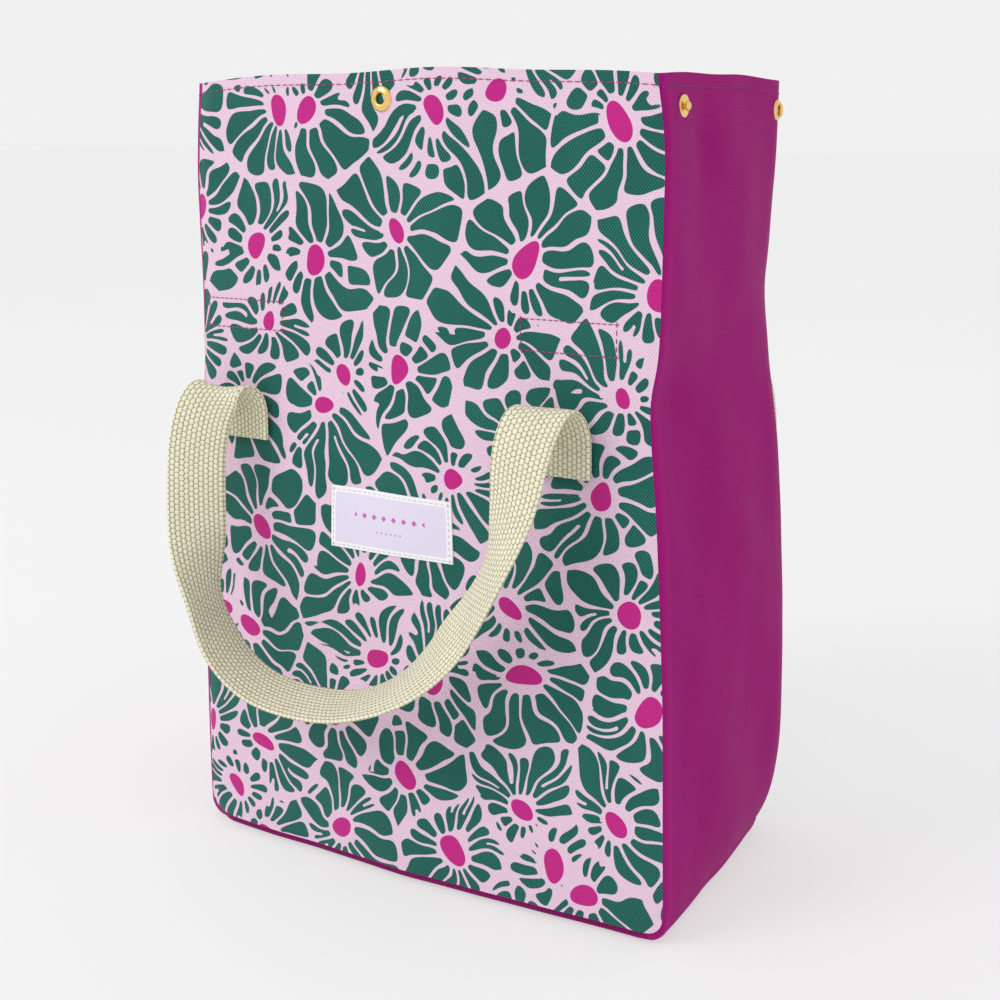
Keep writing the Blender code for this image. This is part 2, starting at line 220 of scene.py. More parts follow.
@dataclass(frozen=True)
class BagShape:
    """The outer surface of the standing bag: where each panel and the band lie.

    Attributes:
        half_width: Half the panels' flat width from seam to seam.
        fold_z: Height of the fold where the mouth starts to lean in.
        ridge_z: Height of the ridge below the hems.
        top_z: Height of the mouth's edge at its corners.
        half_depth: Half the bag's depth.
        seam_lift: Height of the bottom seam above the floor.
        base_radius: Radius of the band's two bottom corners.
        lift_share: Share of the half depth over which the base rises to its seam.
        settled: Height above which a gusset's run and its height agree.
        slack: Half the width over which a panel sags and wrinkles.
        sag: Swell of a panel near the floor.
        belly: Swell of a panel halfway up.
        dent: Dent of a panel at the fold.
        dent_sway: How far the dent wanders up and down.
        lips: How far the mouth's edges stand out in mm.
        panel_ripples: Wrinkles of a panel.
        wall_ripples: Wrinkles of a gusset.
        wall_crease: Crease near the top of a gusset, up and then across it.
        wall_tuck: Slanting dent of a gusset at the fold.
        planes: How far each side stands out past the half width at each face, as (height, distance) stops
            in mm.
        corners: Rounding of each upright corner.
    """

    half_width: float
    fold_z: float
    ridge_z: float
    top_z: float
    half_depth: float
    seam_lift: float = 0.0045
    base_radius: float = 0.008
    lift_share: float = 0.07
    settled: float = 0.060
    slack: float = 0.112
    sag: Swell = Swell(4.0, 0.012, 0.075)
    belly: Swell = Swell(2.4, 0.135, 0.060)
    dent: Swell = Swell(-1.8, 0.224, 0.013)
    dent_sway: float = 0.0012
    lips: float = 1.6
    panel_ripples: tuple[Ripple, ...] = (
        Ripple(1.05, (0.0155, 0.031, 0.7), (-0.071, 0.024, 0.0)),
        Ripple(0.80, (0.027, -0.0125, 2.1), (0.049, math.inf, 1.1)),
        Ripple(0.28, (0.0085, 0.0140, 0.0), (-0.019, 0.0093, 0.4)),
    )
    wall_ripples: tuple[Ripple, ...] = (
        Ripple(1.2, (0.0125, 0.052, 1.3), (0.09, 0.036, 0.0)),
        Ripple(0.20, (0.0064, 0.017, 0.0), (-0.021, 0.0088, 0.0)),
    )
    wall_crease: tuple[Swell, Swell] = (Swell(-1.7, 0.316, 0.016), Swell(1.0, -0.030, 0.010))
    wall_tuck: Swell = Swell(-1.2, 0.232, 0.012)
    planes: dict[tuple[Side, Face], Stops] = field(
        default_factory=lambda: {
            (Side.RIGHT, Face.FRONT): (
                (0, 10.5), (12, 11.5), (50, 10.5), (100, 9.2), (140, 7), (175, 4.7), (208, 1.5),
                (222, 0.8), (234, 3.8), (250, 4.6), (310, 5), (326, 3.5), (340, 0.8),
            ),
            (Side.RIGHT, Face.BACK): (
                (0, -6), (8, 1), (16, 5), (28, 8.5), (44, 10.5), (64, 11), (112, 10.5), (150, 8.2),
                (186, 4.8), (204, 2), (221, -0.6), (240, -3), (256, -3.4), (300, -2), (318, -1.8),
                (340, -1.5),
            ),
            (Side.LEFT, Face.FRONT): (
                (0, 5), (40, 5.5), (100, 5.6), (118, 5.4), (150, 3), (200, 0), (222, -2), (245, -2.5),
                (300, -2), (325, -3.5), (340, -5),
            ),
            (Side.LEFT, Face.BACK): (
                (0, 5), (40, 6), (110, 6), (160, 3.5), (205, 0.2), (222, -1.6), (245, -1),
                (300, -0.5), (340, -2),
            ),
        }
    )
    corners: dict[tuple[Side, Face], Corner] = field(
        default_factory=lambda: {
            (Side.RIGHT, Face.FRONT): Corner(((0, 0.8), (340, 0.8)), 0.004, 0.0007, 0.003),
            (Side.RIGHT, Face.BACK): Corner(((0, 7), (60, 8), (200, 9), (340, 9)), 0.024, 0.0025, 0.009),
            (Side.LEFT, Face.FRONT): Corner(
                (
                    (0, 6), (50, 7), (74, 7.8), (114, 10), (150, 7.2), (230, 5.6), (256, 6.5),
                    (300, 6.5), (325, 7), (340, 8),
                ),
                0.010, 0.0030, 0.009,
            ),
            (Side.LEFT, Face.BACK): Corner(((0, 1.5), (340, 1.5)), 0.006, 0.0012, 0.004),
        }
    )

    @classmethod
    def measured(cls) -> "BagShape":
        """Take the main sizes from the part's own boxes.

        Returns:
            The shape.
        """
        panel, upper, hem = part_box("front_panel"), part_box("front_upper_panel"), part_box("front_hem_strip")
        return cls(
            half_width=hem[1][0],
            fold_z=(panel[1][2] + upper[0][2]) / 2,
            ridge_z=(upper[1][2] + hem[0][2]) / 2,
            top_z=hem[1][2],
            half_depth=-hem[0][1],
        )

    def plane(self, side: Side, face: Face, height: np.ndarray) -> np.ndarray:
        """Half width of a side's plane at a face, at each height."""
        return self.half_width + rounded_profile(self.planes[side, face])(height)

    def seam_x(self, side: Side, face: Face, height: np.ndarray) -> np.ndarray:
        """Signed X of an upright seam at each height."""
        inset = rounded_profile(self.corners[side, face].inset)(height)
        return side.value * (self.plane(side, face, height) - inset)

    def panel_edge(self, side: Side, face: Face, height: np.ndarray) -> np.ndarray:
        """Signed X of a panel's edge, which turns in round the bottom corner.

        Args:
            side: Which edge.
            face: Which panel.
            height: Heights along the edge.

        Returns:
            X at each height.
        """
        springing = self.seam_lift + self.base_radius
        below = np.clip((springing - height) / self.base_radius, 0.0, 1.0)
        pulled = self.base_radius * (1.0 - np.sqrt(np.maximum(0.0, 1.0 - below**2)))
        return self.seam_x(side, face, np.maximum(height, springing)) - side.value * pulled

    def bulge(self, face: Face, x: np.ndarray, z: np.ndarray) -> np.ndarray:
        """How far a panel stands out from its plane: its sag, its dent at the fold and its creases.

        Args:
            face: Which panel.
            x: Places across the panel.
            z: Heights.

        Returns:
            The distance outwards at each place.
        """
        turned = x * -face.value
        middle = np.cos(np.clip(x / self.slack, -1, 1) * math.pi / 2) ** 1.2
        swollen = self.sag.at(z) + self.belly.at(z) + self.lips * eased((z - 0.290) / 0.05)
        swollen = swollen + self.dent.at(z - self.dent_sway * np.sin(turned / 0.043))
        wrinkled = sum(ripple.at(turned, z) for ripple in self.panel_ripples)
        return (swollen + wrinkled) * middle * MM

    def panel_y(self, face: Face, x: np.ndarray, z: np.ndarray) -> np.ndarray:
        """Y of a panel's outer surface.

        Args:
            face: Which panel.
            x: Places across the panel.
            z: Heights.

        Returns:
            Y at each place.
        """
        inward = np.zeros_like(x)
        for side in Side:
            corner = self.corners[side, face]
            away = np.abs(self.panel_edge(side, face, z) - x)
            inward = inward + corner.drop * np.clip(1.0 - away / corner.curl, 0.0, 1.0) ** 2
        return face.value * (self.half_depth + self.bulge(face, x, z) - inward)

    def bow(self, share: np.ndarray, z: np.ndarray, height: float) -> np.ndarray:
        """How far the cloth near the mouth's edge rises between its corners."""
        arch = (1.0 - np.abs(share) ** 2.6) + 0.22 * np.sin(share * 7.0 + 0.6) * (1.0 - share**2)
        return height * arch * eased((z - 0.285) / 0.055)

    def panel(self, face: Face, across: np.ndarray, height: np.ndarray) -> np.ndarray:
        """Places on a panel's outer surface.

        Args:
            face: Which panel.
            across: Share of the way from the middle to either edge, from -1 to 1.
            height: Heights before the mouth's edge bows.

        Returns:
            The places, with X, Y and Z in the last axis.
        """
        x = between(*(self.panel_edge(side, face, height) for side in Side), across)
        y = self.panel_y(face, x, height)
        z = height + self.bow(across, height, 3.4 * MM)
        return np.stack([x, y, z], axis=-1)

    def wall_x(self, side: Side, along: np.ndarray, height: np.ndarray) -> np.ndarray:
        """Signed X of a gusset's outer surface.

        Args:
            side: Which gusset.
            along: Share of the way from the middle to the front (-1) or back (1) seam.
            height: Heights.

        Returns:
            X at each place.
        """
        share = (along + 1.0) / 2.0
        x = self.plane(side, Face.FRONT, height) * (1.0 - share) + self.plane(side, Face.BACK, height) * share
        depth = 2.0 * self.half_depth
        for face, away in ((Face.FRONT, share * depth), (Face.BACK, (1.0 - share) * depth)):
            corner = self.corners[side, face]
            inset = rounded_profile(corner.inset)(height)
            x = x - inset * np.clip(1.0 - away / corner.length, 0.0, 1.0) ** 2
        window = np.clip((1.0 - along**2) * 2.2, 0.0, 1.0)
        y = along * self.half_depth
        wrinkled = sum(ripple.at(y, height) for ripple in self.wall_ripples)
        crease = self.wall_crease[0].at(height) * self.wall_crease[1].at(y)
        tuck = self.wall_tuck.at(height - 0.25 * (y + 0.03))
        return side.value * (x + window * (wrinkled + crease + tuck) * MM)

    def lift(self, along: np.ndarray) -> np.ndarray:
        """Height of the base's outer surface, which rises to the seams at its edges."""
        share = np.clip((np.abs(along) - (1.0 - self.lift_share)) / self.lift_share, 0.0, 1.0)
        return self.seam_lift * (1.0 - np.sqrt(np.maximum(0.0, 1.0 - share**2)))

    def wall(self, side: Side, along: np.ndarray, run: np.ndarray) -> np.ndarray:
        """Places on a gusset's outer surface, down to where it turns under the bag.

        Args:
            side: Which gusset.
            along: Share of the way from the middle to the front (-1) or back (1) seam.
            run: Height on the wall, and below base_radius the length round the bottom corner.

        Returns:
            The places, with X, Y and Z in the last axis.
        """
        height, turn = self.turned_under(run, self.lift(along))
        x = self.wall_x(side, along, height) - side.value * self.base_radius * (1.0 - np.cos(turn))
        seam_z = self.seam_height(run)
        y = between(*(self.panel_y(f, self.panel_edge(side, f, seam_z), seam_z) for f in Face), along)
        z = height - self.base_radius * np.sin(turn) + self.bow(along, np.maximum(run, 0.0), 1.5 * MM)
        return np.stack([x, y, z], axis=-1)

    def turned_under(self, run: np.ndarray, lift: float | np.ndarray) -> tuple[np.ndarray, np.ndarray]:
        """Follow a gusset's wall down to where it turns under the bag.

        Args:
            run: Run up the wall.
            lift: Height of the base's outer surface below it.

        Returns:
            The height before the turn, and the turn in radians.
        """
        radius = self.base_radius
        springing = lift + radius
        risen = springing + (run - radius) * (self.settled - springing) / (self.settled - radius)
        height = np.where(run < self.settled, np.maximum(risen, springing), run)
        return height, np.clip((radius - run) / radius, 0.0, math.pi / 2)

    def seam_height(self, run: np.ndarray) -> np.ndarray:
        """Height on the corner seams at each run along a gusset's wall."""
        height, turn = self.turned_under(run, self.seam_lift)
        return height - self.base_radius * np.sin(turn)

    def base(self, across: np.ndarray, along: np.ndarray) -> np.ndarray:
        """Places on the underside.

        Args:
            across: Share of the way from the middle to either bottom corner, from -1 to 1.
            along: Share of the way from the middle to the front (-1) or back (1) seam.

        Returns:
            The places, with X, Y and Z in the last axis.
        """
        radius = self.base_radius
        lift = self.lift(along)
        walls = (self.wall_x(side, along, lift + radius) - side.value * radius for side in Side)
        x = between(*walls, across)
        seam_z = np.full_like(x, self.seam_lift)
        ends = []
        for face in Face:
            seam_x = between(*(self.panel_edge(side, face, seam_z) for side in Side), across)
            ends.append(self.panel_y(face, seam_x, seam_z))
        y = between(*ends, along)
        return np.stack([x, y, lift], axis=-1)


# ---------------------------------------------------------------------------------------------
# Meshes
# ---------------------------------------------------------------------------------------------

Surface = Callable[[np.ndarray, np.ndarray], np.ndarray]


def placed(name: str, data: bpy.types.ID) -> bpy.types.Object:
    """Make an object at the origin from its data, and link it to the scene."""
    obj = bpy.data.objects.new(name, data)
    bpy.context.scene.collection.objects.link(obj)
    return obj


def surface_normals(surface: Surface, u: np.ndarray, v: np.ndarray, outward: np.ndarray) -> np.ndarray:
    """Work out a surface's normals from the surface itself, so that neighbours agree at a cut.

    Args:
        surface: Places from two parameters.
        u: First parameter at each grid point.
        v: Second parameter at each grid point.
        outward: Rough direction that the normals face.

    Returns:
        Unit normals, one for each grid point.
    """
    step_u, step_v = 2e-3, 2e-4
    along_u = surface(u + step_u, v) - surface(u - step_u, v)
    along_v = surface(u, v + step_v) - surface(u, v - step_v)
    normals = np.cross(along_u, along_v)
    normals /= np.maximum(np.linalg.norm(normals, axis=-1, keepdims=True), 1e-12)
    facing = np.sign(np.sum(normals * outward, axis=-1, keepdims=True))
    return normals * np.where(facing == 0, 1.0, facing)


@dataclass
class SheetCut:
    """A rectangular piece of a surface, made into a thin closed sheet.

    Attributes:
        places: Outer places, rows by columns by three.
        normals: Outward normals at the same points.
        spread: Places on the flat cloth in metres, rows by columns by two.
        thickness: Thickness of the cloth.
    """

    places: np.ndarray
    normals: np.ndarray
    spread: np.ndarray
    thickness: float = 0.0010

    def mesh(self, name: str, outer: bpy.types.Material, inner: bpy.types.Material) -> bpy.types.Object:
        """Build the sheet: its outer and inner sides and the rim between them.

        Args:
            name: Name of the piece.
            outer: Material of the outer side and the rim.
            inner: Material of the inner side.

        Returns:
            The new object, linked to the scene.
        """
        rows, columns = self.places.shape[:2]
        inner_places = self.places - self.normals * self.thickness
        points = np.concatenate([self.places.reshape(-1, 3), inner_places.reshape(-1, 3)])
        flat = np.concatenate([self.spread.reshape(-1, 2)] * 2)
        index = np.arange(rows * columns).reshape(rows, columns)
        a, b = index[:-1, :-1], index[:-1, 1:]
        c, d = index[1:, 1:], index[1:, :-1]
        quads = np.stack([a, b, c, d], axis=-1).reshape(-1, 4)
        middle = quads[len(quads) // 2]
        facing = np.cross(points[middle[1]] - points[middle[0]], points[middle[2]] - points[middle[0]])
        outward = self.normals.reshape(-1, 3)[middle[0]]
        if float(facing @ outward) < 0:
            quads = quads[:, ::-1]
        under = quads[:, ::-1] + rows * columns
        loop = np.concatenate([index[0, :-1], index[:-1, -1], index[-1, :0:-1], index[:0:-1, 0]])
        after = np.roll(loop, -1)
        rim = np.stack([loop, after, after + rows * columns, loop + rows * columns], axis=-1)
        if float(facing @ outward) >= 0:
            rim = rim[:, ::-1]
        faces = np.concatenate([quads, under, rim])
        mesh = bpy.data.meshes.new(name)
        mesh.vertices.add(len(points))
        mesh.vertices.foreach_set("co", points.astype(np.float32).ravel())
        mesh.loops.add(faces.size)
        mesh.loops.foreach_set("vertex_index", faces.astype(np.int32).ravel())
        mesh.polygons.add(len(faces))
        mesh.polygons.foreach_set("loop_start", np.arange(0, faces.size, 4, dtype=np.int32))
        mesh.update(calc_edges=True)
        mesh.validate()
        layer = mesh.uv_layers.new(name="Cloth")
        layer.data.foreach_set("uv", flat[faces.ravel()].astype(np.float32).ravel())
        mesh.materials.append(outer)
        mesh.materials.append(inner)
        sides = np.zeros(len(faces), np.int32)
        sides[len(quads) : 2 * len(quads)] = 1
        mesh.polygons.foreach_set("material_index", sides)
        mesh.shade_smooth()
        self.keep_normals(mesh, faces, len(quads))
        return placed(name, mesh)

    def keep_normals(self, mesh: bpy.types.Mesh, faces: np.ndarray, count: int) -> None:
        """Give each side the surface's own normals, and each rim face its flat one.

        Args:
            mesh: The sheet's mesh.
            faces: Its faces, outer side first, then the inner side, then the rim.
            count: How many faces each side has.
        """
        normals = self.normals.reshape(-1, 3)
        both = np.concatenate([normals, -normals])
        kept = both[faces.ravel()].reshape(-1, 4, 3)
        points = np.empty(len(mesh.vertices) * 3, np.float32)
        mesh.vertices.foreach_get("co", points)
        corners = points.reshape(-1, 3)[faces[2 * count :]]
        flat = np.cross(corners[:, 2] - corners[:, 0], corners[:, 3] - corners[:, 1])
        flat /= np.maximum(np.linalg.norm(flat, axis=-1, keepdims=True), 1e-12)
        kept[2 * count :] = flat[:, None, :]
        mesh.normals_split_custom_set(kept.reshape(-1, 3).tolist())


def plain_mesh(
    name: str,
    points: Sequence[Sequence[float]],
    faces: Sequence[Sequence[int]],
    material: bpy.types.Material,
) -> bpy.types.Object:
    """Make a smooth-shaded mesh object at the origin.

    Args:
        name: Name of the piece.
        points: Its points.
        faces: Its faces, as indices of points.
        material: Its material.

    Returns:
        The new object, linked to the scene.
    """
    mesh = bpy.data.meshes.new(name)
    mesh.from_pydata([tuple(map(float, point)) for point in points], [], [tuple(map(int, f)) for f in faces])
    mesh.materials.append(material)
    mesh.shade_smooth()
    return placed(name, mesh)


def turn_outward(obj: bpy.types.Object) -> None:
    """Turn the faces of a closed piece outwards if it came out inside out."""
    mesh = obj.data
    volume = 0.0
    for polygon in mesh.polygons:
        corners = [mesh.vertices[i].co for i in polygon.vertices]
        for second, third in zip(corners[1:], corners[2:]):
            volume += corners[0].dot(second.cross(third))
    if volume < 0:
        mesh.flip_normals()


def settle(obj: bpy.types.Object, slot: Slot, stands_for: Sequence[str] = ()) -> bpy.types.Object:
    """Hide the CAD nodes that a finished piece stands for, and log it.

    Args:
        obj: The piece.
        slot: The record's slot; not used.
        stands_for: CAD nodes that it replaces.

    Returns:
        The same piece.
    """
    if stands_for:
        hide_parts(*stands_for)
    LOG.info("%s: %d faces", obj.name, len(obj.data.polygons))
    return obj


# ---------------------------------------------------------------------------------------------
# Finishes
# ---------------------------------------------------------------------------------------------


class Weave:
    """A material under construction, with short ways to join its nodes."""

    def __init__(self, name: str) -> None:
        """Start a material with a Principled shader."""
        self.material = bpy.data.materials.new(name)
        self.material.use_nodes = True
        self.tree = self.material.node_tree
        self.shader = self.tree.nodes["Principled BSDF"]

    def node(self, kind: str, **settings: object) -> bpy.types.Node:
        """Add a node and set its properties."""
        made = self.tree.nodes.new(kind)
        for key, value in settings.items():
            setattr(made, key, value)
        return made

    def join(self, source: Value | Sequence[float], target: Socket) -> None:
        """Link a socket to an input, or set the input to a value."""
        if isinstance(source, bpy.types.NodeSocket):
            self.tree.links.new(source, target)
        else:
            target.default_value = source

    def math(self, operation: str, *values: Value, clamp: bool = False) -> Socket:
        """Add a Math node.

        Args:
            operation: Its operation.
            *values: Its inputs, sockets or numbers.
            clamp: Whether the result is held between 0 and 1.

        Returns:
            The result.
        """
        made = self.node("ShaderNodeMath", operation=operation, use_clamp=clamp)
        for value, target in zip(values, made.inputs):
            self.join(value, target)
        return made.outputs[0]

    def add(self, first: Value, second: Value) -> Socket:
        """Add two values."""
        return self.math("ADD", first, second)

    def minus(self, first: Value, second: Value) -> Socket:
        """Take the second value from the first."""
        return self.math("SUBTRACT", first, second)

    def times(self, first: Value, second: Value) -> Socket:
        """Multiply two values."""
        return self.math("MULTIPLY", first, second)

    def scaled(self, value: Value, factor: Value, start: Value) -> Socket:
        """Multiply a value by a factor and add a start."""
        return self.math("MULTIPLY_ADD", value, factor, start)

    def absolute(self, value: Value) -> Socket:
        """Drop a value's sign."""
        return self.math("ABSOLUTE", value)

    def vector(self, operation: str, *values: Value | Sequence[float]) -> Socket:
        """Add a Vector Math node.

        Args:
            operation: Its operation.
            *values: Its inputs, sockets or triples.

        Returns:
            The resulting vector, or the number where the operation measures a length.
        """
        made = self.node("ShaderNodeVectorMath", operation=operation)
        for value, target in zip(values, made.inputs):
            self.join(value, target)
        return made.outputs["Value" if operation == "LENGTH" else "Vector"]

    def parts(self, vector: Socket) -> tuple[Socket, Socket, Socket]:
        """Split a vector into its three parts."""
        made = self.node("ShaderNodeSeparateXYZ")
        self.join(vector, made.inputs[0])
        return made.outputs[0], made.outputs[1], made.outputs[2]

    def whole(self, x: Value, y: Value, z: Value = 0.0) -> Socket:
        """Put three parts together as a vector."""
        made = self.node("ShaderNodeCombineXYZ")
        for value, target in zip((x, y, z), made.inputs):
            self.join(value, target)
        return made.outputs[0]

    def ramp(self, value: Socket, low: float, high: float) -> Socket:
        """Ease a value from 0 at low to 1 at high."""
        made = self.node("ShaderNodeMapRange", interpolation_type="SMOOTHSTEP")
        self.join(value, made.inputs["Value"])
        self.join(low, made.inputs["From Min"])
        self.join(high, made.inputs["From Max"])
        return made.outputs["Result"]

    def noise(
        self, vector: Socket, scale: float, detail: float = 2.0, roughness: float = 0.5, output: str = "Fac"
    ) -> Socket:
        """Add a Noise texture.

        Args:
            vector: Where it is read.
            scale: Features for each metre.
            detail: Its octaves.
            roughness: Its roughness.
            output: Which of its outputs is read.

        Returns:
            The output.
        """
        made = self.node("ShaderNodeTexNoise", noise_dimensions="3D")
        self.join(vector, made.inputs["Vector"])
        self.join(scale, made.inputs["Scale"])
        self.join(detail, made.inputs["Detail"])
        self.join(roughness, made.inputs["Roughness"])
        return made.outputs[output]

    def wave(self, vector: Socket, direction: str, scale: float, distortion: float = 0.0) -> Socket:
        """Add a Wave texture of bands.

        Args:
            vector: Where it is read.
            direction: Direction across the bands.
            scale: Its scale.
            distortion: How uneven the bands are.

        Returns:
            A height from 0 to 1.
        """
        made = self.node("ShaderNodeTexWave", wave_type="BANDS", bands_direction=direction)
        self.join(vector, made.inputs["Vector"])
        self.join(scale, made.inputs["Scale"])
        self.join(distortion, made.inputs["Distortion"])
        return made.outputs["Fac"]

    def feed(self, name: str, source: Value | Sequence[float]) -> None:
        """Link a socket to an input of the shader, or set that input to a value."""
        self.join(source, self.shader.inputs[name])

    def lit(self, colour: Socket, value: Socket) -> Socket:
        """Make a colour brighter or darker by a value near 1."""
        made = self.node("ShaderNodeHueSaturation")
        self.join(colour, made.inputs["Color"])
        self.join(value, made.inputs["Value"])
        return made.outputs[0]

    def mix(self, factor: Value, first: Socket | tuple, second: Socket | tuple) -> Socket:
        """Mix two colours.

        Args:
            factor: How much of the second colour.
            first: First colour.
            second: Second colour.

        Returns:
            The mixed colour.
        """
        made = self.node("ShaderNodeMix", data_type="RGBA", blend_type="MIX")
        self.join(factor, made.inputs["Factor"])
        self.join(first, made.inputs["A"])
        self.join(second, made.inputs["B"])
        return [out for out in made.outputs if out.type == "RGBA"][0]

    def cloth(self) -> Socket:
        """Read the piece's own flat cloth places, in metres."""
        return self.node("ShaderNodeUVMap", uv_map="Cloth").outputs[0]

    def place(self) -> Socket:
        """Read the piece's places in metres."""
        return self.node("ShaderNodeTexCoord").outputs["Object"]

    def bump(
        self, height: Socket, distance: float, strength: float = 1.0, under: Socket | None = None
    ) -> Socket:
        """Turn a height into a normal.

        Args:
            height: Height from 0 to 1.
            distance: What a height of 1 stands for, in metres.
            strength: Share of the effect.
            under: A coarser bump's normal below this one.

        Returns:
            The normal.
        """
        made = self.node("ShaderNodeBump")
        self.join(height, made.inputs["Height"])
        self.join(distance, made.inputs["Distance"])
        self.join(strength, made.inputs["Strength"])
        if under is not None:
            self.join(under, made.inputs["Normal"])
        return made.outputs[0]

    def plain_weave(self, cloth: Socket, pitch_u: float, pitch_v: float) -> Socket:
        """Height of a plain weave: threads over and under by turns.

        Args:
            cloth: Flat cloth places in metres.
            pitch_u: Width of a thread along U.
            pitch_v: Width of a thread along V.

        Returns:
            A height from 0 to 1.
        """
        u, v, _ = self.parts(cloth)
        over_u = self.math("SINE", self.times(u, math.pi / pitch_u))
        over_v = self.math("SINE", self.times(v, math.pi / pitch_v))
        return self.scaled(self.times(over_u, over_v), 0.5, 0.5)


@dataclass(frozen=True)
class PrintedCanvas:
    """Cotton canvas with an all-over print of loose daisies.

    Attributes:
        green: Petals.
        pale: Ground between the petals.
        bright: Flower centres.
        glint: Painted highlight on the threads' tops where the dark ink lies on them.
        spacing: Distance between flower centres.
        scatter: How far the centres stray from a grid, from 0 to 1.
        drifts: How the print wanders: the scale and reach of each drift.
        petals: Fewest petals of a flower, and how many more it may have.
        cut_chance: Chance that a petal is cut across.
        split_chance: Chance that a petal is split lengthwise.
        spared: Distance that takes a cut or a split out of a petal that has none.
        oval: How a flower's centre is squeezed.
        thread: Width of a thread.
    """

    green: tuple[int, int, int] = (0, 90, 79)
    pale: tuple[int, int, int] = (234, 202, 225)
    bright: tuple[int, int, int] = (196, 24, 132)
    glint: tuple[int, int, int] = (72, 170, 150)
    spacing: float = 0.043
    scatter: float = 0.78
    drifts: tuple[tuple[float, float], ...] = ((32.0, 0.013), (80.0, 0.0030))
    petals: tuple[float, float] = (12.0, 4.99)
    cut_chance: float = 0.13
    split_chance: float = 0.14
    spared: float = 0.05
    oval: tuple[float, float, float] = (0.82, 1.22, 1.0)
    thread: float = 0.00066

    def material(self) -> bpy.types.Material:
        """Build the material.

        Returns:
            The material, which reads the cloth's own flat places.
        """
        w = Weave("printed_canvas_daisies")
        cloth = w.cloth()
        drifted = cloth
        for scale, reach in self.drifts:
            drift = w.vector("SUBTRACT", w.noise(cloth, scale, 0.0, output="Color"), (0.5, 0.5, 0.5))
            drifted = w.vector("MULTIPLY_ADD", drift, (reach, reach, 0.0), drifted)
        cell = w.node("ShaderNodeTexVoronoi", voronoi_dimensions="2D", feature="F1")
        border = w.node("ShaderNodeTexVoronoi", voronoi_dimensions="2D", feature="DISTANCE_TO_EDGE")
        for made in (cell, border):
            w.join(drifted, made.inputs["Vector"])
            w.join(1.0 / self.spacing, made.inputs["Scale"])
            w.join(self.scatter, made.inputs["Randomness"])
        away = w.vector("SUBTRACT", drifted, cell.outputs["Position"])
        luck = w.parts(cell.outputs["Color"])
        edge = w.times(border.outputs["Distance"], self.spacing)
        swirl = w.times(w.minus(w.noise(drifted, 62.0, 0.0), 0.5), 0.080)
        inside = self.petals_at(w, away, edge, swirl, luck)
        breadth = w.scaled(w.noise(cloth, 90.0, 0.0), 0.0009, 0.00026)
        green_here = w.ramp(w.minus(inside, breadth), -0.00010, 0.00010)
        colour = w.mix(green_here, linear(*self.pale), linear(*self.green))
        colour = w.mix(self.heart_at(w, away, luck), colour, linear(*self.bright))
        self.dress(w, cloth, colour, green_here)
        return w.material

    def petals_at(
        self, w: Weave, away: Socket, edge: Socket, swirl: Socket, luck: Sequence[Socket]
    ) -> Socket:
        """Measure how far inside a petal each place lies.

        Args:
            w: The material.
            away: Place as seen from the flower's centre.
            edge: Distance from the flower's edge.
            swirl: How far the petals are swept round.
            luck: The flower's three lucky numbers.

        Returns:
            The distance, smoothed so that every corner of a petal is round.
        """
        dx, dy, _ = w.parts(away)
        radius = w.vector("LENGTH", w.whole(dx, dy))
        turn = w.math("DIVIDE", w.math("ARCTAN2", dy, dx), 2.0 * math.pi)
        count = w.add(w.math("FLOOR", w.times(luck[0], self.petals[1])), self.petals[0])
        steps = w.times(w.add(w.add(turn, luck[1]), swirl), count)
        within = w.math("FRACT", steps)

        def arc(share: Socket) -> Socket:
            """Length round the flower of a share of one petal's turn."""
            return w.math("DIVIDE", w.times(w.times(share, radius), 2.0 * math.pi), count)

        side = arc(w.minus(0.5, w.absolute(w.minus(within, 0.5))))
        own = w.node("ShaderNodeTexWhiteNoise", noise_dimensions="3D")
        w.join(w.whole(w.math("FLOOR", steps), w.times(luck[0], 97.0), luck[2]), own.inputs["Vector"])
        first, second, third = w.parts(own.outputs["Color"])
        # A few petals are cut across: their gap lies at a distance of its own from the centre.
        gap = w.absolute(w.minus(radius, w.scaled(second, 0.009, 0.0135)))
        spared = w.times(w.math("GREATER_THAN", first, self.cut_chance), self.spared)
        cut = w.add(w.minus(gap, 0.0003), spared)
        # A few are split lengthwise from some way out.
        beyond = w.math("MAXIMUM", w.minus(w.scaled(third, 0.006, 0.0155), radius), 0.0)
        across = arc(w.absolute(w.minus(within, w.scaled(second, 0.16, 0.42))))
        split = w.vector("LENGTH", w.whole(beyond, across))
        split = w.add(split, w.times(w.math("GREATER_THAN", third, self.split_chance), self.spared))
        start = w.minus(radius, w.scaled(second, 0.0022, 0.0062))
        shorter = w.times(w.math("POWER", third, 2.0), 0.0024)
        end = w.minus(edge, w.minus(shorter, 0.0002))
        inside = side
        for other, rounding in ((split, 0.0022), (end, 0.0066), (cut, 0.0030), (start, 0.0020)):
            inside = w.math("SMOOTH_MIN", inside, other, rounding)
        return inside

    def heart_at(self, w: Weave, away: Socket, luck: Sequence[Socket]) -> Socket:
        """Mark the flowers' centres, ovals turned each its own way."""
        dx, dy, _ = w.parts(away)
        lean = w.node("ShaderNodeVectorRotate", rotation_type="Z_AXIS")
        w.join(w.whole(dx, dy), lean.inputs["Vector"])
        w.join(w.times(luck[1], 6.28), lean.inputs["Angle"])
        radius = w.vector("LENGTH", w.vector("MULTIPLY", lean.outputs[0], self.oval))
        return w.ramp(w.minus(w.scaled(luck[2], 0.0014, 0.0042), radius), -0.0001, 0.0001)

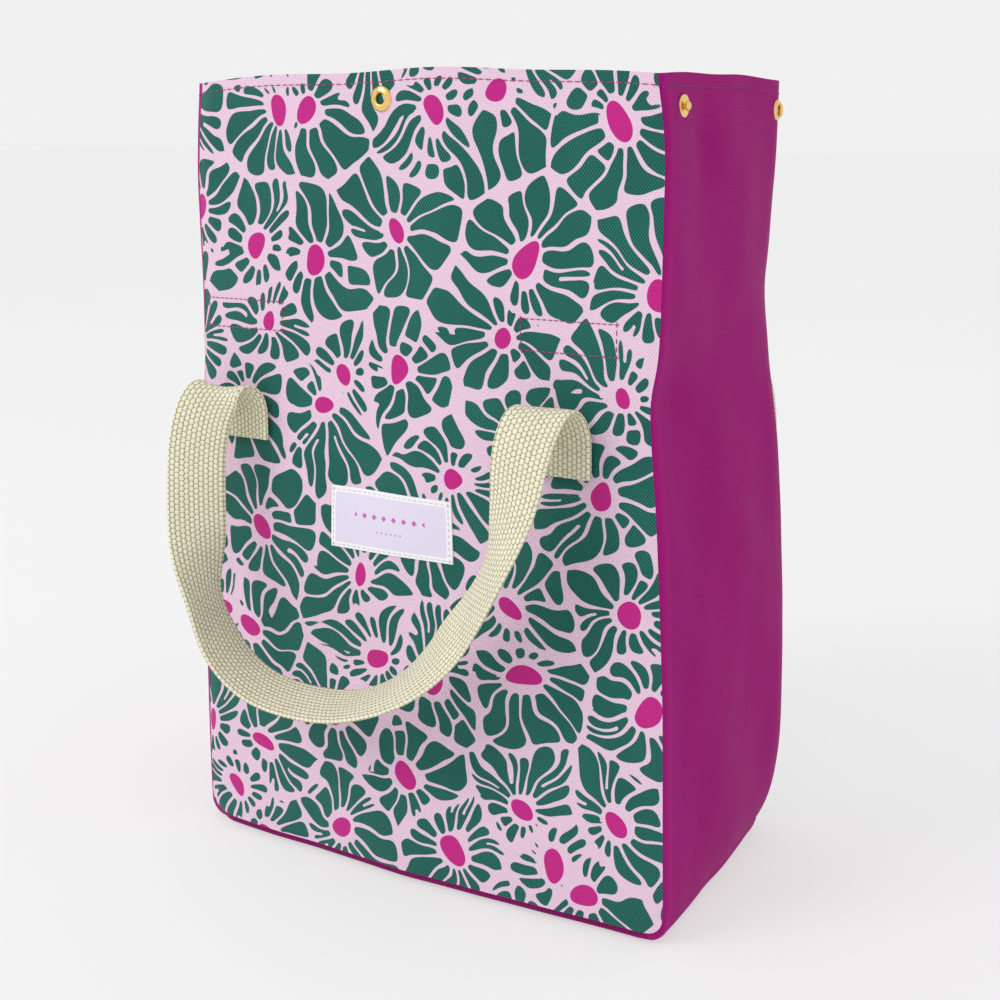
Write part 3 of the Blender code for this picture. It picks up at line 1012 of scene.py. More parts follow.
    def dress(self, w: Weave, cloth: Socket, colour: Socket, green_here: Socket) -> None:
        """Lay the print on a woven ground: painted highlight on the threads' tops, painted shade in the
        hollows between them, and uneven ink.

        Args:
            w: The material.
            cloth: Flat cloth places.
            colour: The print's colour.
            green_here: Where the dark ink lies.
        """
        weave = w.plain_weave(cloth, self.thread, self.thread * 1.3)
        # Painted highlight: the threads' tops on the dark ink turn towards the glint colour, more in some
        # patches.
        tops = w.ramp(weave, 0.62, 0.98)
        patches = w.ramp(w.noise(cloth, 26.0, 2.0), 0.35, 0.72)
        glint = w.times(w.times(tops, green_here), w.scaled(patches, 0.46, 0.16))
        colour = w.mix(glint, colour, linear(*self.glint))
        # Painted shade in the hollows between the threads.
        hollows = w.minus(1.0, w.ramp(weave, 0.02, 0.40))
        colour = w.mix(w.times(hollows, 0.26), colour, (0.02, 0.02, 0.03, 1.0))
        slub = w.noise(w.vector("MULTIPLY", cloth, (1.0, 9.0, 1.0)), 320.0, 2.0)
        w.feed("Base Color", w.lit(colour, w.scaled(slub, 0.14, 0.93)))
        w.feed("Roughness", 0.82)
        w.feed("Specular IOR Level", 0.30)
        w.feed("Sheen Weight", 0.12)
        coarse = w.bump(slub, 0.00012, 0.5)
        w.feed("Normal", w.bump(weave, 0.00026, 0.9, coarse))


@dataclass(frozen=True)
class RibbedCanvas:
    """Plain dyed cloth with a fine rib across it.

    Attributes:
        name: Name of the material.
        colour: Its dye.
        dark: Painted shade in the hollows of the weave, also mixed in where the slub's yarn is uneven.
        rib: Height of one rib.
        sheen: How silky it looks at a glance.
        seam: Distance from the cloth's middle past which the folded seam allowance shows through.
        edge: Distance from the cloth's middle to its seams, where the cloth sinks into shadow.
    """

    name: str
    colour: tuple[int, int, int]
    dark: tuple[int, int, int]
    rib: float = 0.00052
    sheen: float = 0.03
    seam: float = 0.0600
    edge: float = 0.0690

    def material(self) -> bpy.types.Material:
        """Build the material.

        Returns:
            The material, which reads the cloth's own flat places.
        """
        w = Weave(self.name)
        cloth = w.cloth()
        u, v, _ = w.parts(cloth)
        waver = w.times(w.noise(cloth, 60.0, 2.0), self.rib * 1.4)
        rows = w.math("SINE", w.times(w.add(v, waver), 2.0 * math.pi / self.rib))
        ribs = w.scaled(rows, 0.5, 0.5)
        grain = w.plain_weave(cloth, self.rib * 0.8, self.rib)
        height = w.scaled(ribs, 0.6, w.times(grain, 0.4))
        slub = w.noise(w.vector("MULTIPLY", cloth, (1.0, 14.0, 1.0)), 140.0, 3.0)
        worn = w.noise(cloth, 14.0, 3.0)
        # Painted shade: the dye leans towards dark in the low parts of the ribs and weave, and also with the
        # slub's uneven yarn.
        shade = w.add(w.times(height, 0.42), w.times(slub, 0.55))
        colour = w.mix(w.ramp(shade, 0.05, 0.95), linear(*self.dark), linear(*self.colour))
        doubled = w.ramp(w.absolute(u), self.seam, self.seam + 0.0006)
        coarse_weave = w.plain_weave(cloth, self.rib * 1.35, self.rib * 1.7)
        raised = w.times(doubled, w.scaled(coarse_weave, 0.36, -0.06))
        # Painted shadow in a thin line along the seams.
        painted_seam_shadow = w.ramp(w.absolute(u), self.edge - 0.0016, self.edge - 0.0002)
        value = w.minus(w.add(w.scaled(worn, 0.22, 0.89), raised), w.times(painted_seam_shadow, 0.5))
        w.feed("Base Color", w.lit(colour, value))
        w.feed("Roughness", w.scaled(slub, 0.20, 0.50))
        w.feed("Specular IOR Level", 0.07)
        w.feed("Sheen Weight", self.sheen)
        w.feed("Sheen Roughness", 0.45)
        w.feed("Sheen Tint", linear(226, 90, 180))
        coarse = w.bump(slub, 0.00020, 0.5)
        w.feed("Normal", w.bump(height, 0.00012, 0.7, coarse))
        return w.material


@dataclass(frozen=True)
class BasketWebbing:
    """Heavy cotton webbing: upright cords of plump stitches, each column set half a stitch on.

    Attributes:
        light: Tops of the yarn.
        deep: Painted shade in the hollows between the yarn, also mixed in at random by the fuzz.
        column: Width of one column.
        stitch: Length of one stitch.
    """

    light: tuple[int, int, int] = (238, 233, 208)
    deep: tuple[int, int, int] = (150, 138, 92)
    column: float = 0.00208
    stitch: float = 0.00225

    def material(self) -> bpy.types.Material:
        """Build the material.

        Returns:
            The material, which reads the strap's own flat places.
        """
        w = Weave("cotton_webbing_basket")
        cloth = w.cloth()
        jitter = w.vector("SUBTRACT", w.noise(cloth, 700.0, 1.0, output="Color"), (0.5, 0.5, 0.5))
        moved = w.vector("MULTIPLY_ADD", jitter, (0.0008, 0.0008, 0.0), cloth)
        u, v, _ = w.parts(moved)
        columns = w.math("DIVIDE", u, self.column)
        which = w.math("FLOOR", columns)
        shift = w.times(w.math("FLOORED_MODULO", which, 2.0), 0.5)
        rows = w.add(w.math("DIVIDE", v, self.stitch), shift)
        in_u = w.minus(w.math("FRACT", columns), 0.5)
        in_v = w.minus(w.math("FRACT", rows), 0.5)
        round_u = w.math("POWER", w.absolute(w.times(in_u, 2.0)), 2.2)
        round_v = w.math("POWER", w.absolute(w.times(in_v, 2.0)), 2.6)
        plump = w.math("SUBTRACT", 1.0, w.scaled(round_u, 0.62, w.times(round_v, 0.62)), clamp=True)
        strands = w.math("SINE", w.times(w.add(in_u, w.times(in_v, 0.6)), 16.0))
        fuzz = w.noise(w.vector("MULTIPLY", cloth, (3.0, 1.0, 1.0)), 1500.0, 2.0)
        height = w.scaled(strands, 0.06, plump)
        lit = w.scaled(w.minus(fuzz, 0.5), 0.30, height)
        # Painted shade: the yarn's hollows take the darker colour and the plump tops the light one.
        colour = w.mix(w.ramp(lit, 0.05, 0.80), linear(*self.deep), linear(*self.light))
        soiling = w.noise(cloth, 60.0, 3.0)
        w.feed("Base Color", w.lit(colour, w.scaled(soiling, 0.14, 0.92)))
        w.feed("Roughness", 0.9)
        w.feed("Specular IOR Level", 0.2)
        w.feed("Sheen Weight", 0.15)
        fine = w.bump(fuzz, 0.00006, 0.6)
        w.feed("Normal", w.bump(height, 0.00042, 0.9, fine))
        return w.material


@dataclass(frozen=True)
class WovenLabel:
    """Satin label: a white folded border round a pale field with a row of woven diamonds.

    Attributes:
        border: Colour of the folded border.
        field_colour: Colour of the field.
        motif: Colour of the woven diamonds.
        half_size: Half the label's width and height.
        border_width: Width of the folded border.
        rows: Woven rows: each one's height, its pitch, half a diamond's size and half the row's length.
    """

    border: tuple[int, int, int] = (247, 246, 250)
    field_colour: tuple[int, int, int] = (226, 219, 240)
    motif: tuple[int, int, int] = (204, 92, 186)
    half_size: tuple[float, float] = (0.031, 0.01325)
    border_width: float = 0.0024
    rows: tuple[tuple[float, float, float, float], ...] = (
        (0.0021, 0.0052, 0.00135, 0.0182),
        (-0.0041, 0.0024, 0.00050, 0.0066),
    )

    def material(self) -> bpy.types.Material:
        """Build the material.

        Returns:
            The material, which reads the label's own flat places from its middle.
        """
        w = Weave("woven_label_satin")
        cloth = w.cloth()
        u, v, _ = w.parts(cloth)
        reach_u = w.minus(self.half_size[0] - self.border_width, w.absolute(u))
        reach_v = w.minus(self.half_size[1] - self.border_width, w.absolute(v))
        inside = w.ramp(w.math("MINIMUM", reach_u, reach_v), -0.00012, 0.00012)
        colour = w.mix(inside, linear(*self.border), linear(*self.field_colour))
        for centre, pitch, half, reach in self.rows:
            along = w.minus(w.math("FLOORED_MODULO", u, pitch), pitch / 2)
            size = w.add(w.absolute(along), w.absolute(w.minus(v, centre)))
            shape = w.ramp(w.minus(half, size), -0.00008, 0.00008)
            kept = w.times(shape, w.math("LESS_THAN", w.absolute(u), reach))
            colour = w.mix(kept, colour, linear(*self.motif))
        satin = w.wave(cloth, "Y", 1700.0, 1.2)
        grain = w.noise(w.vector("MULTIPLY", cloth, (1.0, 6.0, 1.0)), 900.0, 2.0)
        w.feed("Base Color", w.lit(colour, w.scaled(grain, 0.10, 0.94)))
        w.feed("Roughness", 0.42)
        w.feed("Sheen Weight", 0.2)
        w.feed("Normal", w.bump(satin, 0.00006, 0.5))
        return w.material


@dataclass(frozen=True)
class SewingThread:
    """Twisted sewing thread.

    Attributes:
        name: Name of the material.
        colour: Its dye.
    """

    name: str
    colour: tuple[int, int, int]

    def material(self) -> bpy.types.Material:
        """Build the material, which reads the piece's own places."""
        w = Weave(self.name)
        twist = w.wave(w.place(), "DIAGONAL", 900.0)
        red, green, blue, _ = linear(*self.colour)
        shadow = (red * 0.45, green * 0.45, blue * 0.45, 1.0)
        w.feed("Base Color", w.mix(w.ramp(twist, 0.1, 0.8), shadow, linear(*self.colour)))
        w.feed("Roughness", 0.55)
        w.feed("Sheen Weight", 0.2)
        w.feed("Normal", w.bump(twist, 0.00008, 0.6))
        return w.material


@dataclass(frozen=True)
class Brass:
    """Plated brass of the snaps, with faint tarnish and scratches."""

    colour: tuple[int, int, int] = (244, 205, 128)
    tarnish: tuple[int, int, int] = (176, 128, 62)

    def material(self) -> bpy.types.Material:
        """Build the material, which reads the piece's own places."""
        w = Weave("snap_brass")
        place = w.place()
        cloud = w.noise(place, 420.0, 4.0, 0.6)
        scratches = w.noise(w.vector("MULTIPLY", place, (1.0, 9.0, 1.0)), 2200.0, 2.0)
        w.feed("Base Color", w.mix(w.ramp(cloud, 0.50, 0.78), linear(*self.colour), linear(*self.tarnish)))
        w.feed("Metallic", 1.0)
        w.feed("Roughness", w.scaled(scratches, 0.22, 0.14))
        w.feed("Normal", w.bump(scratches, 0.00002, 0.3))
        return w.material


@dataclass(frozen=True)
class GreyBoard:
    """Pressed grey board of the loose base."""

    colour: tuple[int, int, int] = (92, 88, 84)
    fibre: tuple[int, int, int] = (132, 126, 118)

    def material(self) -> bpy.types.Material:
        """Build the material, which reads the piece's own places."""
        w = Weave("grey_board")
        place = w.place()
        fibres = w.noise(w.vector("MULTIPLY", place, (1.0, 3.0, 1.0)), 520.0, 5.0, 0.65)
        w.feed("Base Color", w.mix(w.ramp(fibres, 0.38, 0.70), linear(*self.colour), linear(*self.fibre)))
        w.feed("Roughness", 0.88)
        w.feed("Normal", w.bump(fibres, 0.0002, 0.5))
        return w.material


Finish = PrintedCanvas | RibbedCanvas | BasketWebbing | WovenLabel | SewingThread | Brass | GreyBoard


def made_of(finish: Finish) -> bpy.types.Material:
    """Make a field that builds its finish's material when the bag's materials are made."""
    return field(default_factory=finish.material)


@dataclass
class Finishes:
    """The materials that the pieces share, each built once."""

    printed: bpy.types.Material = made_of(PrintedCanvas())
    reverse: bpy.types.Material = made_of(
        RibbedCanvas("printed_canvas_reverse", (226, 206, 216), (196, 178, 190), 0.0008, 0.1)
    )
    plum: bpy.types.Material = made_of(RibbedCanvas("plum_canvas_ribbed", (172, 14, 126), (130, 6, 94)))
    webbing: bpy.types.Material = made_of(BasketWebbing())
    label: bpy.types.Material = made_of(WovenLabel())
    plum_thread: bpy.types.Material = made_of(SewingThread("plum_thread", (190, 36, 120)))
    tonal_thread: bpy.types.Material = made_of(SewingThread("tonal_thread", (126, 0, 88)))
    cream_thread: bpy.types.Material = made_of(SewingThread("cream_thread", (246, 242, 226)))
    brass: bpy.types.Material = made_of(Brass())
    board: bpy.types.Material = made_of(GreyBoard())


# ---------------------------------------------------------------------------------------------
# Stitching
# ---------------------------------------------------------------------------------------------


@dataclass(frozen=True)
class Stitching:
    """Lines of machine stitches that follow paths on the cloth, made by Geometry Nodes.

    Attributes:
        pitch: Distance from one stitch to the next.
        length: Length of one stitch.
        radius: Half the thread's width.
    """

    pitch: float = 0.0030
    length: float = 0.0026
    radius: float = 0.00026

    def tree(self) -> bpy.types.NodeTree:
        """Build the node tree: a path becomes a row of short rounded stitches.

        Returns:
            The tree, with inputs for the pitch, length, radius and material.
        """
        tree = bpy.data.node_groups.new("stitch_rows", "GeometryNodeTree")
        tree.interface.new_socket("Geometry", in_out="INPUT", socket_type="NodeSocketGeometry")
        for title in ("Pitch", "Stitch Length", "Thread Radius"):
            tree.interface.new_socket(title, in_out="INPUT", socket_type="NodeSocketFloat")
        tree.interface.new_socket("Thread", in_out="INPUT", socket_type="NodeSocketMaterial")
        tree.interface.new_socket("Geometry", in_out="OUTPUT", socket_type="NodeSocketGeometry")
        add = tree.nodes.new
        given, result = add("NodeGroupInput"), add("NodeGroupOutput")
        path, spaced = add("GeometryNodeMeshToCurve"), add("GeometryNodeResampleCurve")
        tangent, turned = add("GeometryNodeInputTangent"), add("FunctionNodeAlignRotationToVector")
        bead, half, size = add("GeometryNodeMeshUVSphere"), add("ShaderNodeMath"), add("ShaderNodeCombineXYZ")
        place, real = add("GeometryNodeInstanceOnPoints"), add("GeometryNodeRealizeInstances")
        dye = add("GeometryNodeSetMaterial")
        spaced.mode = "LENGTH"
        turned.axis = "X"
        for key, value in (("Segments", 6), ("Rings", 4), ("Radius", 1.0)):
            bead.inputs[key].default_value = value
        half.operation = "MULTIPLY"
        half.inputs[1].default_value = 0.5
        wires = (
            (given, "Geometry", path, 0), (path, 0, spaced, "Curve"), (given, "Pitch", spaced, "Length"),
            (spaced, 0, place, "Points"), (bead, "Mesh", place, "Instance"), (tangent, 0, turned, "Vector"),
            (turned, 0, place, "Rotation"), (given, "Stitch Length", half, 0), (half, 0, size, 0),
            (given, "Thread Radius", size, 1), (given, "Thread Radius", size, 2), (size, 0, place, "Scale"),
            (place, 0, real, 0), (real, 0, dye, "Geometry"), (given, "Thread", dye, "Material"),
            (dye, 0, result, 0),
        )
        for source, out, target, into in wires:
            tree.links.new(source.outputs[out], target.inputs[into])
        return tree

    def sew(self, name: str, runs: Sequence[np.ndarray], thread: bpy.types.Material) -> bpy.types.Object:
        """Sew along paths and keep the result as a plain mesh.

        Args:
            name: Name of the piece.
            runs: Paths, each an array of places.
            thread: The thread's material.

        Returns:
            The stitches as one mesh object at the origin.
        """
        points = np.concatenate(runs)
        edges, first = [], 0
        for run in runs:
            edges += [(first + i, first + i + 1) for i in range(len(run) - 1)]
            first += len(run)
        mesh = bpy.data.meshes.new(f"{name}_path")
        mesh.from_pydata(points.tolist(), edges, [])
        path = placed(f"{name}_path", mesh)
        modifier = path.modifiers.new("stitches", "NODES")
        modifier.node_group = bpy.data.node_groups.get("stitch_rows") or self.tree()
        sizes = {"Pitch": self.pitch, "Stitch Length": self.length, "Thread Radius": self.radius}
        sizes["Thread"] = thread
        for item in modifier.node_group.interface.items_tree:
            if item.in_out == "INPUT" and item.name in sizes:
                modifier[item.identifier] = sizes[item.name]
        graph = bpy.context.evaluated_depsgraph_get()
        sewn = bpy.data.meshes.new_from_object(path.evaluated_get(graph), depsgraph=graph)
        bpy.data.objects.remove(path, do_unlink=True)
        bpy.data.meshes.remove(mesh)
        sewn.name = name
        if not sewn.materials:
            sewn.materials.append(thread)
        sewn.shade_smooth()
        return placed(name, sewn)


# ---------------------------------------------------------------------------------------------
# Sub-assemblies
# ---------------------------------------------------------------------------------------------


@dataclass
class SewnPart:
    """A group of pieces made on the bag.

    Attributes:
        shape: The bag's surfaces.
        finishes: The bag's materials.
    """

    shape: BagShape
    finishes: Finishes


@dataclass
class Panels(SewnPart):
    """The two printed panels, each a main cloth and the hem strip that stays upright.

    Attributes:
        thickness: Thickness of the cloth.
        bend: Half the height over which the cloth bends at the fold; not used.
        hem_start: How far below the ridge the hem cloth starts.
        columns: Grid columns across a panel.
        hem_line: How far below the mouth's edge the hem is stitched.
        hem_bend: Half the height over which the hem cloth bends at the ridge; not used.
        back_offset: How far along the printed cloth the back panel was cut.
    """

    thickness: float = 0.0010
    bend: float = 0.010
    hem_start: float = 0.010
    columns: int = 84
    hem_line: float = 0.0042
    hem_bend: float = 0.008
    back_offset: float = 0.61

    def build(self) -> None:
        """Build both panels and their hem stitching."""
        shape = self.shape
        cut, low = shape.ridge_z - self.hem_start, shape.seam_lift
        arc = shape.base_radius * (1 - np.cos(np.linspace(0, math.pi / 2, 7)))
        rows = np.concatenate([low + arc, np.linspace(low + shape.base_radius, cut, 100)[1:]])
        for face in Face:
            y, title = face.value * shape.half_depth, face.title
            main = self.piece(f"{title}_panel_cloth", face, rows)
            settle(main, Slot.PRINT, (f"{title}_panel", f"{title}_upper_panel"))
            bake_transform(main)
            hem = self.piece(f"{title}_hem_cloth", face, np.linspace(cut, shape.top_z, 13))
            settle(hem, Slot.PRINT, (f"{title}_hem_strip",))
            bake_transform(hem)
            self.stitch_hem(face)

    def piece(self, name: str, face: Face, rows: np.ndarray) -> bpy.types.Object:
        """Build the part of a panel between two heights.

        Args:
            name: Name of the piece.
            face: Which panel.
            rows: Heights of the grid's rows.

        Returns:
            The piece.
        """
        across, height = np.meshgrid(np.linspace(-1, 1, self.columns + 1), rows)
        surface = lambda a, z: self.shape.panel(face, a, z)
        places = surface(across, height)
        outward = np.array([0.0, face.value, 0.0])
        normals = surface_normals(surface, across, np.maximum(height, self.shape.seam_lift + 2e-4), outward)
        offset = self.back_offset if face is Face.BACK else 0.0
        spread = np.stack([places[..., 0] * -face.value + offset, height], axis=-1)
        sheet = SheetCut(places, normals, spread, self.thickness)
        return sheet.mesh(name, self.finishes.printed, self.finishes.reverse)

    def stitch_hem(self, face: Face) -> None:
        """Sew the line that holds a panel's hem."""
        across = np.linspace(-0.985, 0.985, 120)
        height = np.full_like(across, self.shape.top_z - self.hem_line)
        run = self.shape.panel(face, across, height)
        run[:, 1] += face.value * 0.00012
        line = Stitching(pitch=0.0034, length=0.0031, radius=0.00022).sew(
            f"{face.title}_hem_stitches", [run], self.finishes.plum_thread
        )
        settle(line, Slot.THREAD)
        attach(line, f"{face.title}_hem")


@dataclass
class Band(SewnPart):
    """The plum band: two gussets and the base, with the gussets' folding tops.

    Attributes:
        thickness: Thickness of the cloth.
        bend: Half the height over which the cloth bends at the fold; not used.
        seam_bend: Depth from a seam over which a wing turns in; not used.
        columns: Grid columns from seam to seam.
        tip: Smallest share of the width left at a point, so that no face vanishes.
        axis_in: How far the gussets' joints stand in from their planes; not used.
        seam_in: How far the seams' joints stand in from the panels; not used.
        seam_short: Share of the half depth past which the seam's own normals are not read.
        stitch_drop: How far below the mouth's edge a gusset's hem is stitched.
    """

    thickness: float = 0.0010
    bend: float = 0.008
    seam_bend: float = 0.018
    columns: int = 56
    tip: float = 0.004
    axis_in: float = 0.0012
    seam_in: float = 0.0005
    seam_short: float = 0.998
    stitch_drop: float = 0.0050

    def build(self) -> None:
        """Build the base, then each gusset's wall, wings and hem halves."""
        self.build_base()
        for side in Side:
            self.build_wall(side)
            for face in Face:
                self.build_wing(side, face)
                self.build_hem_half(side, face)

    def depth(self) -> float:
        """Width of the band from seam to seam."""
        return 2 * self.shape.half_depth

    def crease(self, height: np.ndarray) -> np.ndarray:
        """Share of the half depth at which the diagonal crease lies, at each height."""
        rise = self.shape.ridge_z - self.shape.fold_z
        return np.clip((self.shape.ridge_z - height) / rise, self.tip, 1.0)

    def cut(self, name: str, side: Side, along: np.ndarray, run: np.ndarray) -> bpy.types.Object:
        """Cut a grid from a gusset's wall.

        Args:
            name: Name of the piece.
            side: Which gusset.
            along: Share of the way to the front or back seam, at each grid point.
            run: Run up the wall at each grid point.

        Returns:
            The piece.
        """
        surface = lambda a, r: self.shape.wall(side, a, r)
        places = surface(along, run)
        under = np.clip((self.shape.base_radius - run) / self.shape.base_radius, 0, math.pi / 2)
        outward = np.stack([side.value * np.cos(under), np.zeros_like(under), -np.sin(under)], axis=-1)
        normals = surface_normals(surface, np.clip(along, -self.seam_short, self.seam_short), run, outward)
        spread = np.stack([places[..., 1], run], axis=-1)
        sheet = SheetCut(places, normals, spread, self.thickness)
        return sheet.mesh(name, self.finishes.plum, self.finishes.plum)

    def build_wall(self, side: Side) -> None:
        """Build a gusset from the base's edge up to its folding triangle.

        Args:
            side: Which gusset.
        """
        radius, fold, ridge = self.shape.base_radius, self.shape.fold_z, self.shape.ridge_z
        rows = np.concatenate([
            np.linspace(radius * (1 - math.pi / 2), radius, 8)[:-1],
            np.linspace(radius, fold, 72)[:-1],
            np.linspace(fold, ridge, 34),
        ])
        share, run = np.meshgrid(np.linspace(-1, 1, self.columns + 1), rows)
        piece = self.cut(f"{side.title}_gusset_cloth", side, share * self.crease(run), run)
        settle(piece, Slot.PLUM, (f"{side.title}_gusset_centre",))
        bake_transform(piece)
        area = self.depth() * (fold + ridge) / 2
        self.depth()

    def build_wing(self, side: Side, face: Face) -> None:
        """Build the part of a gusset between its diagonal crease and a seam."""
        fold, ridge = self.shape.fold_z, self.shape.ridge_z
        share, run = np.meshgrid(np.linspace(0, 1, 31), np.linspace(fold, ridge, 34))
        inner = np.minimum(self.crease(run), 1.0 - self.tip)
        along = face.value * (inner + (1.0 - inner) * share)
        title = f"{face.title}_{side.title}"
        piece = self.cut(f"{title}_wing_cloth", side, along, run)
        settle(piece, Slot.PLUM, (f"{title}_wing",))
        self.turn_in(piece, side, face, f"{face.title}_top", f"{title}_wing_body")
        self.depth() / 2
        self.depth() * (ridge - fold) / 4

    def build_hem_half(self, side: Side, face: Face) -> None:
        """Build one half of a gusset's hem and its stitching."""
        ridge, top = self.shape.ridge_z, self.shape.top_z
        share, run = np.meshgrid(np.linspace(0, 1, 31), np.linspace(ridge, top, 10))
        title = f"{face.title}_{side.title}"
        piece = self.cut(f"{title}_hem_half_cloth", side, face.value * share, run)
        settle(piece, Slot.PLUM, (f"{title}_hem_wing",))
        self.turn_in(piece, side, face, f"{face.title}_hem", f"{title}_hem_half")
        self.depth() / 2
        along = face.value * np.linspace(0.02, 0.97, 50)
        line = self.shape.wall(side, along, np.full_like(along, top - self.stitch_drop))
        line[:, 0] += side.value * 0.00008
        stitches = Stitching(pitch=0.0030, length=0.0027, radius=0.00020).sew(
            f"{title}_hem_half_stitches", [line], self.finishes.tonal_thread
        )
        settle(stitches, Slot.THREAD)
        self.turn_in(stitches, side, face, f"{face.title}_hem", f"{title}_hem_half")

    def turn_in(self, piece: bpy.types.Object, side: Side, face: Face, still: str, turning: str) -> None:
        """Bake a piece's transform into its mesh."""
        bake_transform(piece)

    def build_base(self) -> None:
        """Build the underside between the two bottom corners."""
        across, along = np.meshgrid(np.linspace(-1, 1, 61), self.base_shares())
        surface = lambda a, b: self.shape.base(a, b)
        places = surface(across, along)
        normals = surface_normals(
            surface, across, np.clip(along, -self.seam_short, self.seam_short), np.array([0.0, 0.0, -1.0])
        )
        spread = np.stack([places[..., 1], places[..., 0]], axis=-1)
        piece = SheetCut(places, normals, spread, self.thickness).mesh(
            "base_cloth", self.finishes.plum, self.finishes.plum
        )
        settle(piece, Slot.PLUM, ("gusset_band",))
        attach(piece, "bag_body")
        self.depth()

    def base_shares(self) -> np.ndarray:
        """Shares across the depth, close together where the base rises to its seams."""
        lift = self.shape.lift_share
        edge = 1.0 - lift + lift * np.sin(np.linspace(0, math.pi / 2, 7))
        return np.concatenate([-edge[::-1], np.linspace(-(1 - lift), 1 - lift, 41)[1:-1], edge])


@dataclass(frozen=True)
class Station:
    """One place along a hanging handle.

    Attributes:
        x: Place across the bag in mm, as worn on the front.
        out: Distance out from the bag's middle plane in mm.
        z: Height in mm.
        turn: How far the webbing is turned from facing outwards, in degrees: at 90 its outer edge
            points straight out from the bag.
    """

    x: float
    out: float
    z: float
    turn: float


@dataclass
class Handle(SewnPart):
    """One webbing handle: sewn flat, curled over its sewn ends and hanging in a loop.

    Attributes:
        width: Width of the webbing.
        thickness: Thickness of the webbing.
        sewn_out: Distance of the sewn ends' middle from the bag's middle plane, in mm.
        stations: Places along the hanging loop, from its right sewn end to its left.
        steps: Steps between two stations.
        curl_slant: Y and Z of the direction down the hanging loop, along which its swing begins; not used.
        curl_run: Where along that direction the swing begins and where it is whole; not used.
        crest_share: Share of the handle that hangs past each crest, where its edges change sides.
        crest_blend: Share of the handle over which they do.
        box_middle: X of a sewn end's box of stitches.
        box_half: Half the box's width.
        box_rows: Heights of the box's lower and upper lines.
    """

    width: float = 0.025
    thickness: float = 0.0019
    sewn_out: float = 71.4
    stations: tuple[Station, ...] = (
        Station(80, 71.4, 189, 0), Station(80, 71.4, 197, 0), Station(80, 71.9, 206, 0),
        Station(79, 75.5, 213.5, -3), Station(78, 82, 217, -8), Station(76.5, 88.5, 214.5, -8),
        Station(75, 93, 207, -4), Station(74, 96, 197, 2), Station(73, 97.5, 186, 12),
        Station(70, 98, 173, 26), Station(64.5, 98, 156, 45), Station(54.5, 97.5, 138, 45),
        Station(44, 97, 124, 40), Station(33, 96.5, 111, 48), Station(19, 96, 99, 60),
        Station(3, 95.5, 90, 70), Station(-15, 95, 84, 75), Station(-35, 95, 82.5, 77),
        Station(-53, 95.5, 84.5, 80), Station(-66, 97, 91.5, 84), Station(-76, 98, 103, 88),
        Station(-83.5, 98.5, 120, 97), Station(-86, 98.5, 135, 78), Station(-86.5, 98.5, 152, 46),
        Station(-86.5, 98, 170, 36), Station(-86.5, 96.5, 187, 33), Station(-86, 92.5, 201, 32),
        Station(-85, 86.5, 209.5, 30), Station(-83, 80, 211.5, 22), Station(-81, 74.5, 208.5, 9),
        Station(-80, 71.9, 203, 2), Station(-80, 71.4, 196, 0), Station(-80, 71.4, 189, 0),
    )
    steps: int = 7
    curl_slant: tuple[float, float] = (0.985, -0.174)
    curl_run: tuple[float, float] = (0.0400, 0.0580)
    crest_share: float = 0.150
    crest_blend: float = 0.070
    box_middle: float = 0.080
    box_half: float = 0.0098
    box_rows: tuple[float, float] = (0.1915, 0.2015)

    def build(self) -> None:
        """Build a handle on each face, with the stitches that hold its ends."""
        for face in Face:
            strap = self.strap(face)
            title = face.title
            nodes = [f"{title}_handle_loop"]
            nodes += [f"{title}_{side.title}_handle_{part}" for side in Side for part in ("end", "curl")]
            settle(strap, Slot.WEBBING, nodes)
            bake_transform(strap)
            flat = (self.width, self.length(face))
            self.stitch_ends(face)

    def centreline(self, face: Face) -> tuple[np.ndarray, np.ndarray]:
        """Smooth the stations into close places and turns.

        Args:
            face: Which handle; the back one is the front one turned half round.

        Returns:
            The places along the middle of the webbing, and its turn at each in radians.
        """
        raw = np.array([(s.x, -s.out, s.z, s.turn) for s in self.stations], float)
        fine = []
        for i in range(len(raw) - 1):
            before, first = raw[max(i - 1, 0)], raw[i]
            second, after = raw[i + 1], raw[min(i + 2, len(raw) - 1)]
            for step in range(self.steps):
                t = step / self.steps
                fine.append(
                    0.5 * (2 * first + (second - before) * t
                           + (2 * before - 5 * first + 4 * second - after) * t**2
                           + (3 * first - before - 3 * second + after) * t**3)
                )
        fine.append(raw[-1])
        rows = np.array(fine)
        rows[:, :3] *= MM
        rows[:, :3] = self.smooth(rows[:, :3])
        rows[:, 3:] = self.smooth(rows[:, 3:])
        if face is Face.BACK:
            rows[:, :2] *= -1.0
        return rows[:, :3], np.radians(rows[:, 3])

    def smooth(self, rows: np.ndarray, rounds: int = 6) -> np.ndarray:
        """Average neighbouring rows a few times, with the ends held."""
        for _ in range(rounds):
            rows = np.concatenate([rows[:1], (rows[:-2] + 2 * rows[1:-1] + rows[2:]) / 4, rows[-1:]])
        return rows

    def length(self, face: Face) -> float:
        """Length of the webbing along its middle."""
        places, _ = self.centreline(face)
        return float(np.linalg.norm(np.diff(places, axis=0), axis=1).sum())

    def frames(self, face: Face) -> tuple[np.ndarray, np.ndarray, np.ndarray]:
        """Work out the webbing's places, its width direction and its face direction.

        Args:
            face: Which handle.

        Returns:
            Places, unit vectors towards the outer edge, and unit vectors out of the show face.
        """
        places, turns = self.centreline(face)
        tangents = np.gradient(places, axis=0)
        tangents /= np.linalg.norm(tangents, axis=1, keepdims=True)
        share = np.linspace(0, 1, len(places))[:, None]
        forward = np.array([0.0, float(face.value), 0.0])
        spin = 1.0 if face is Face.FRONT else -1.0
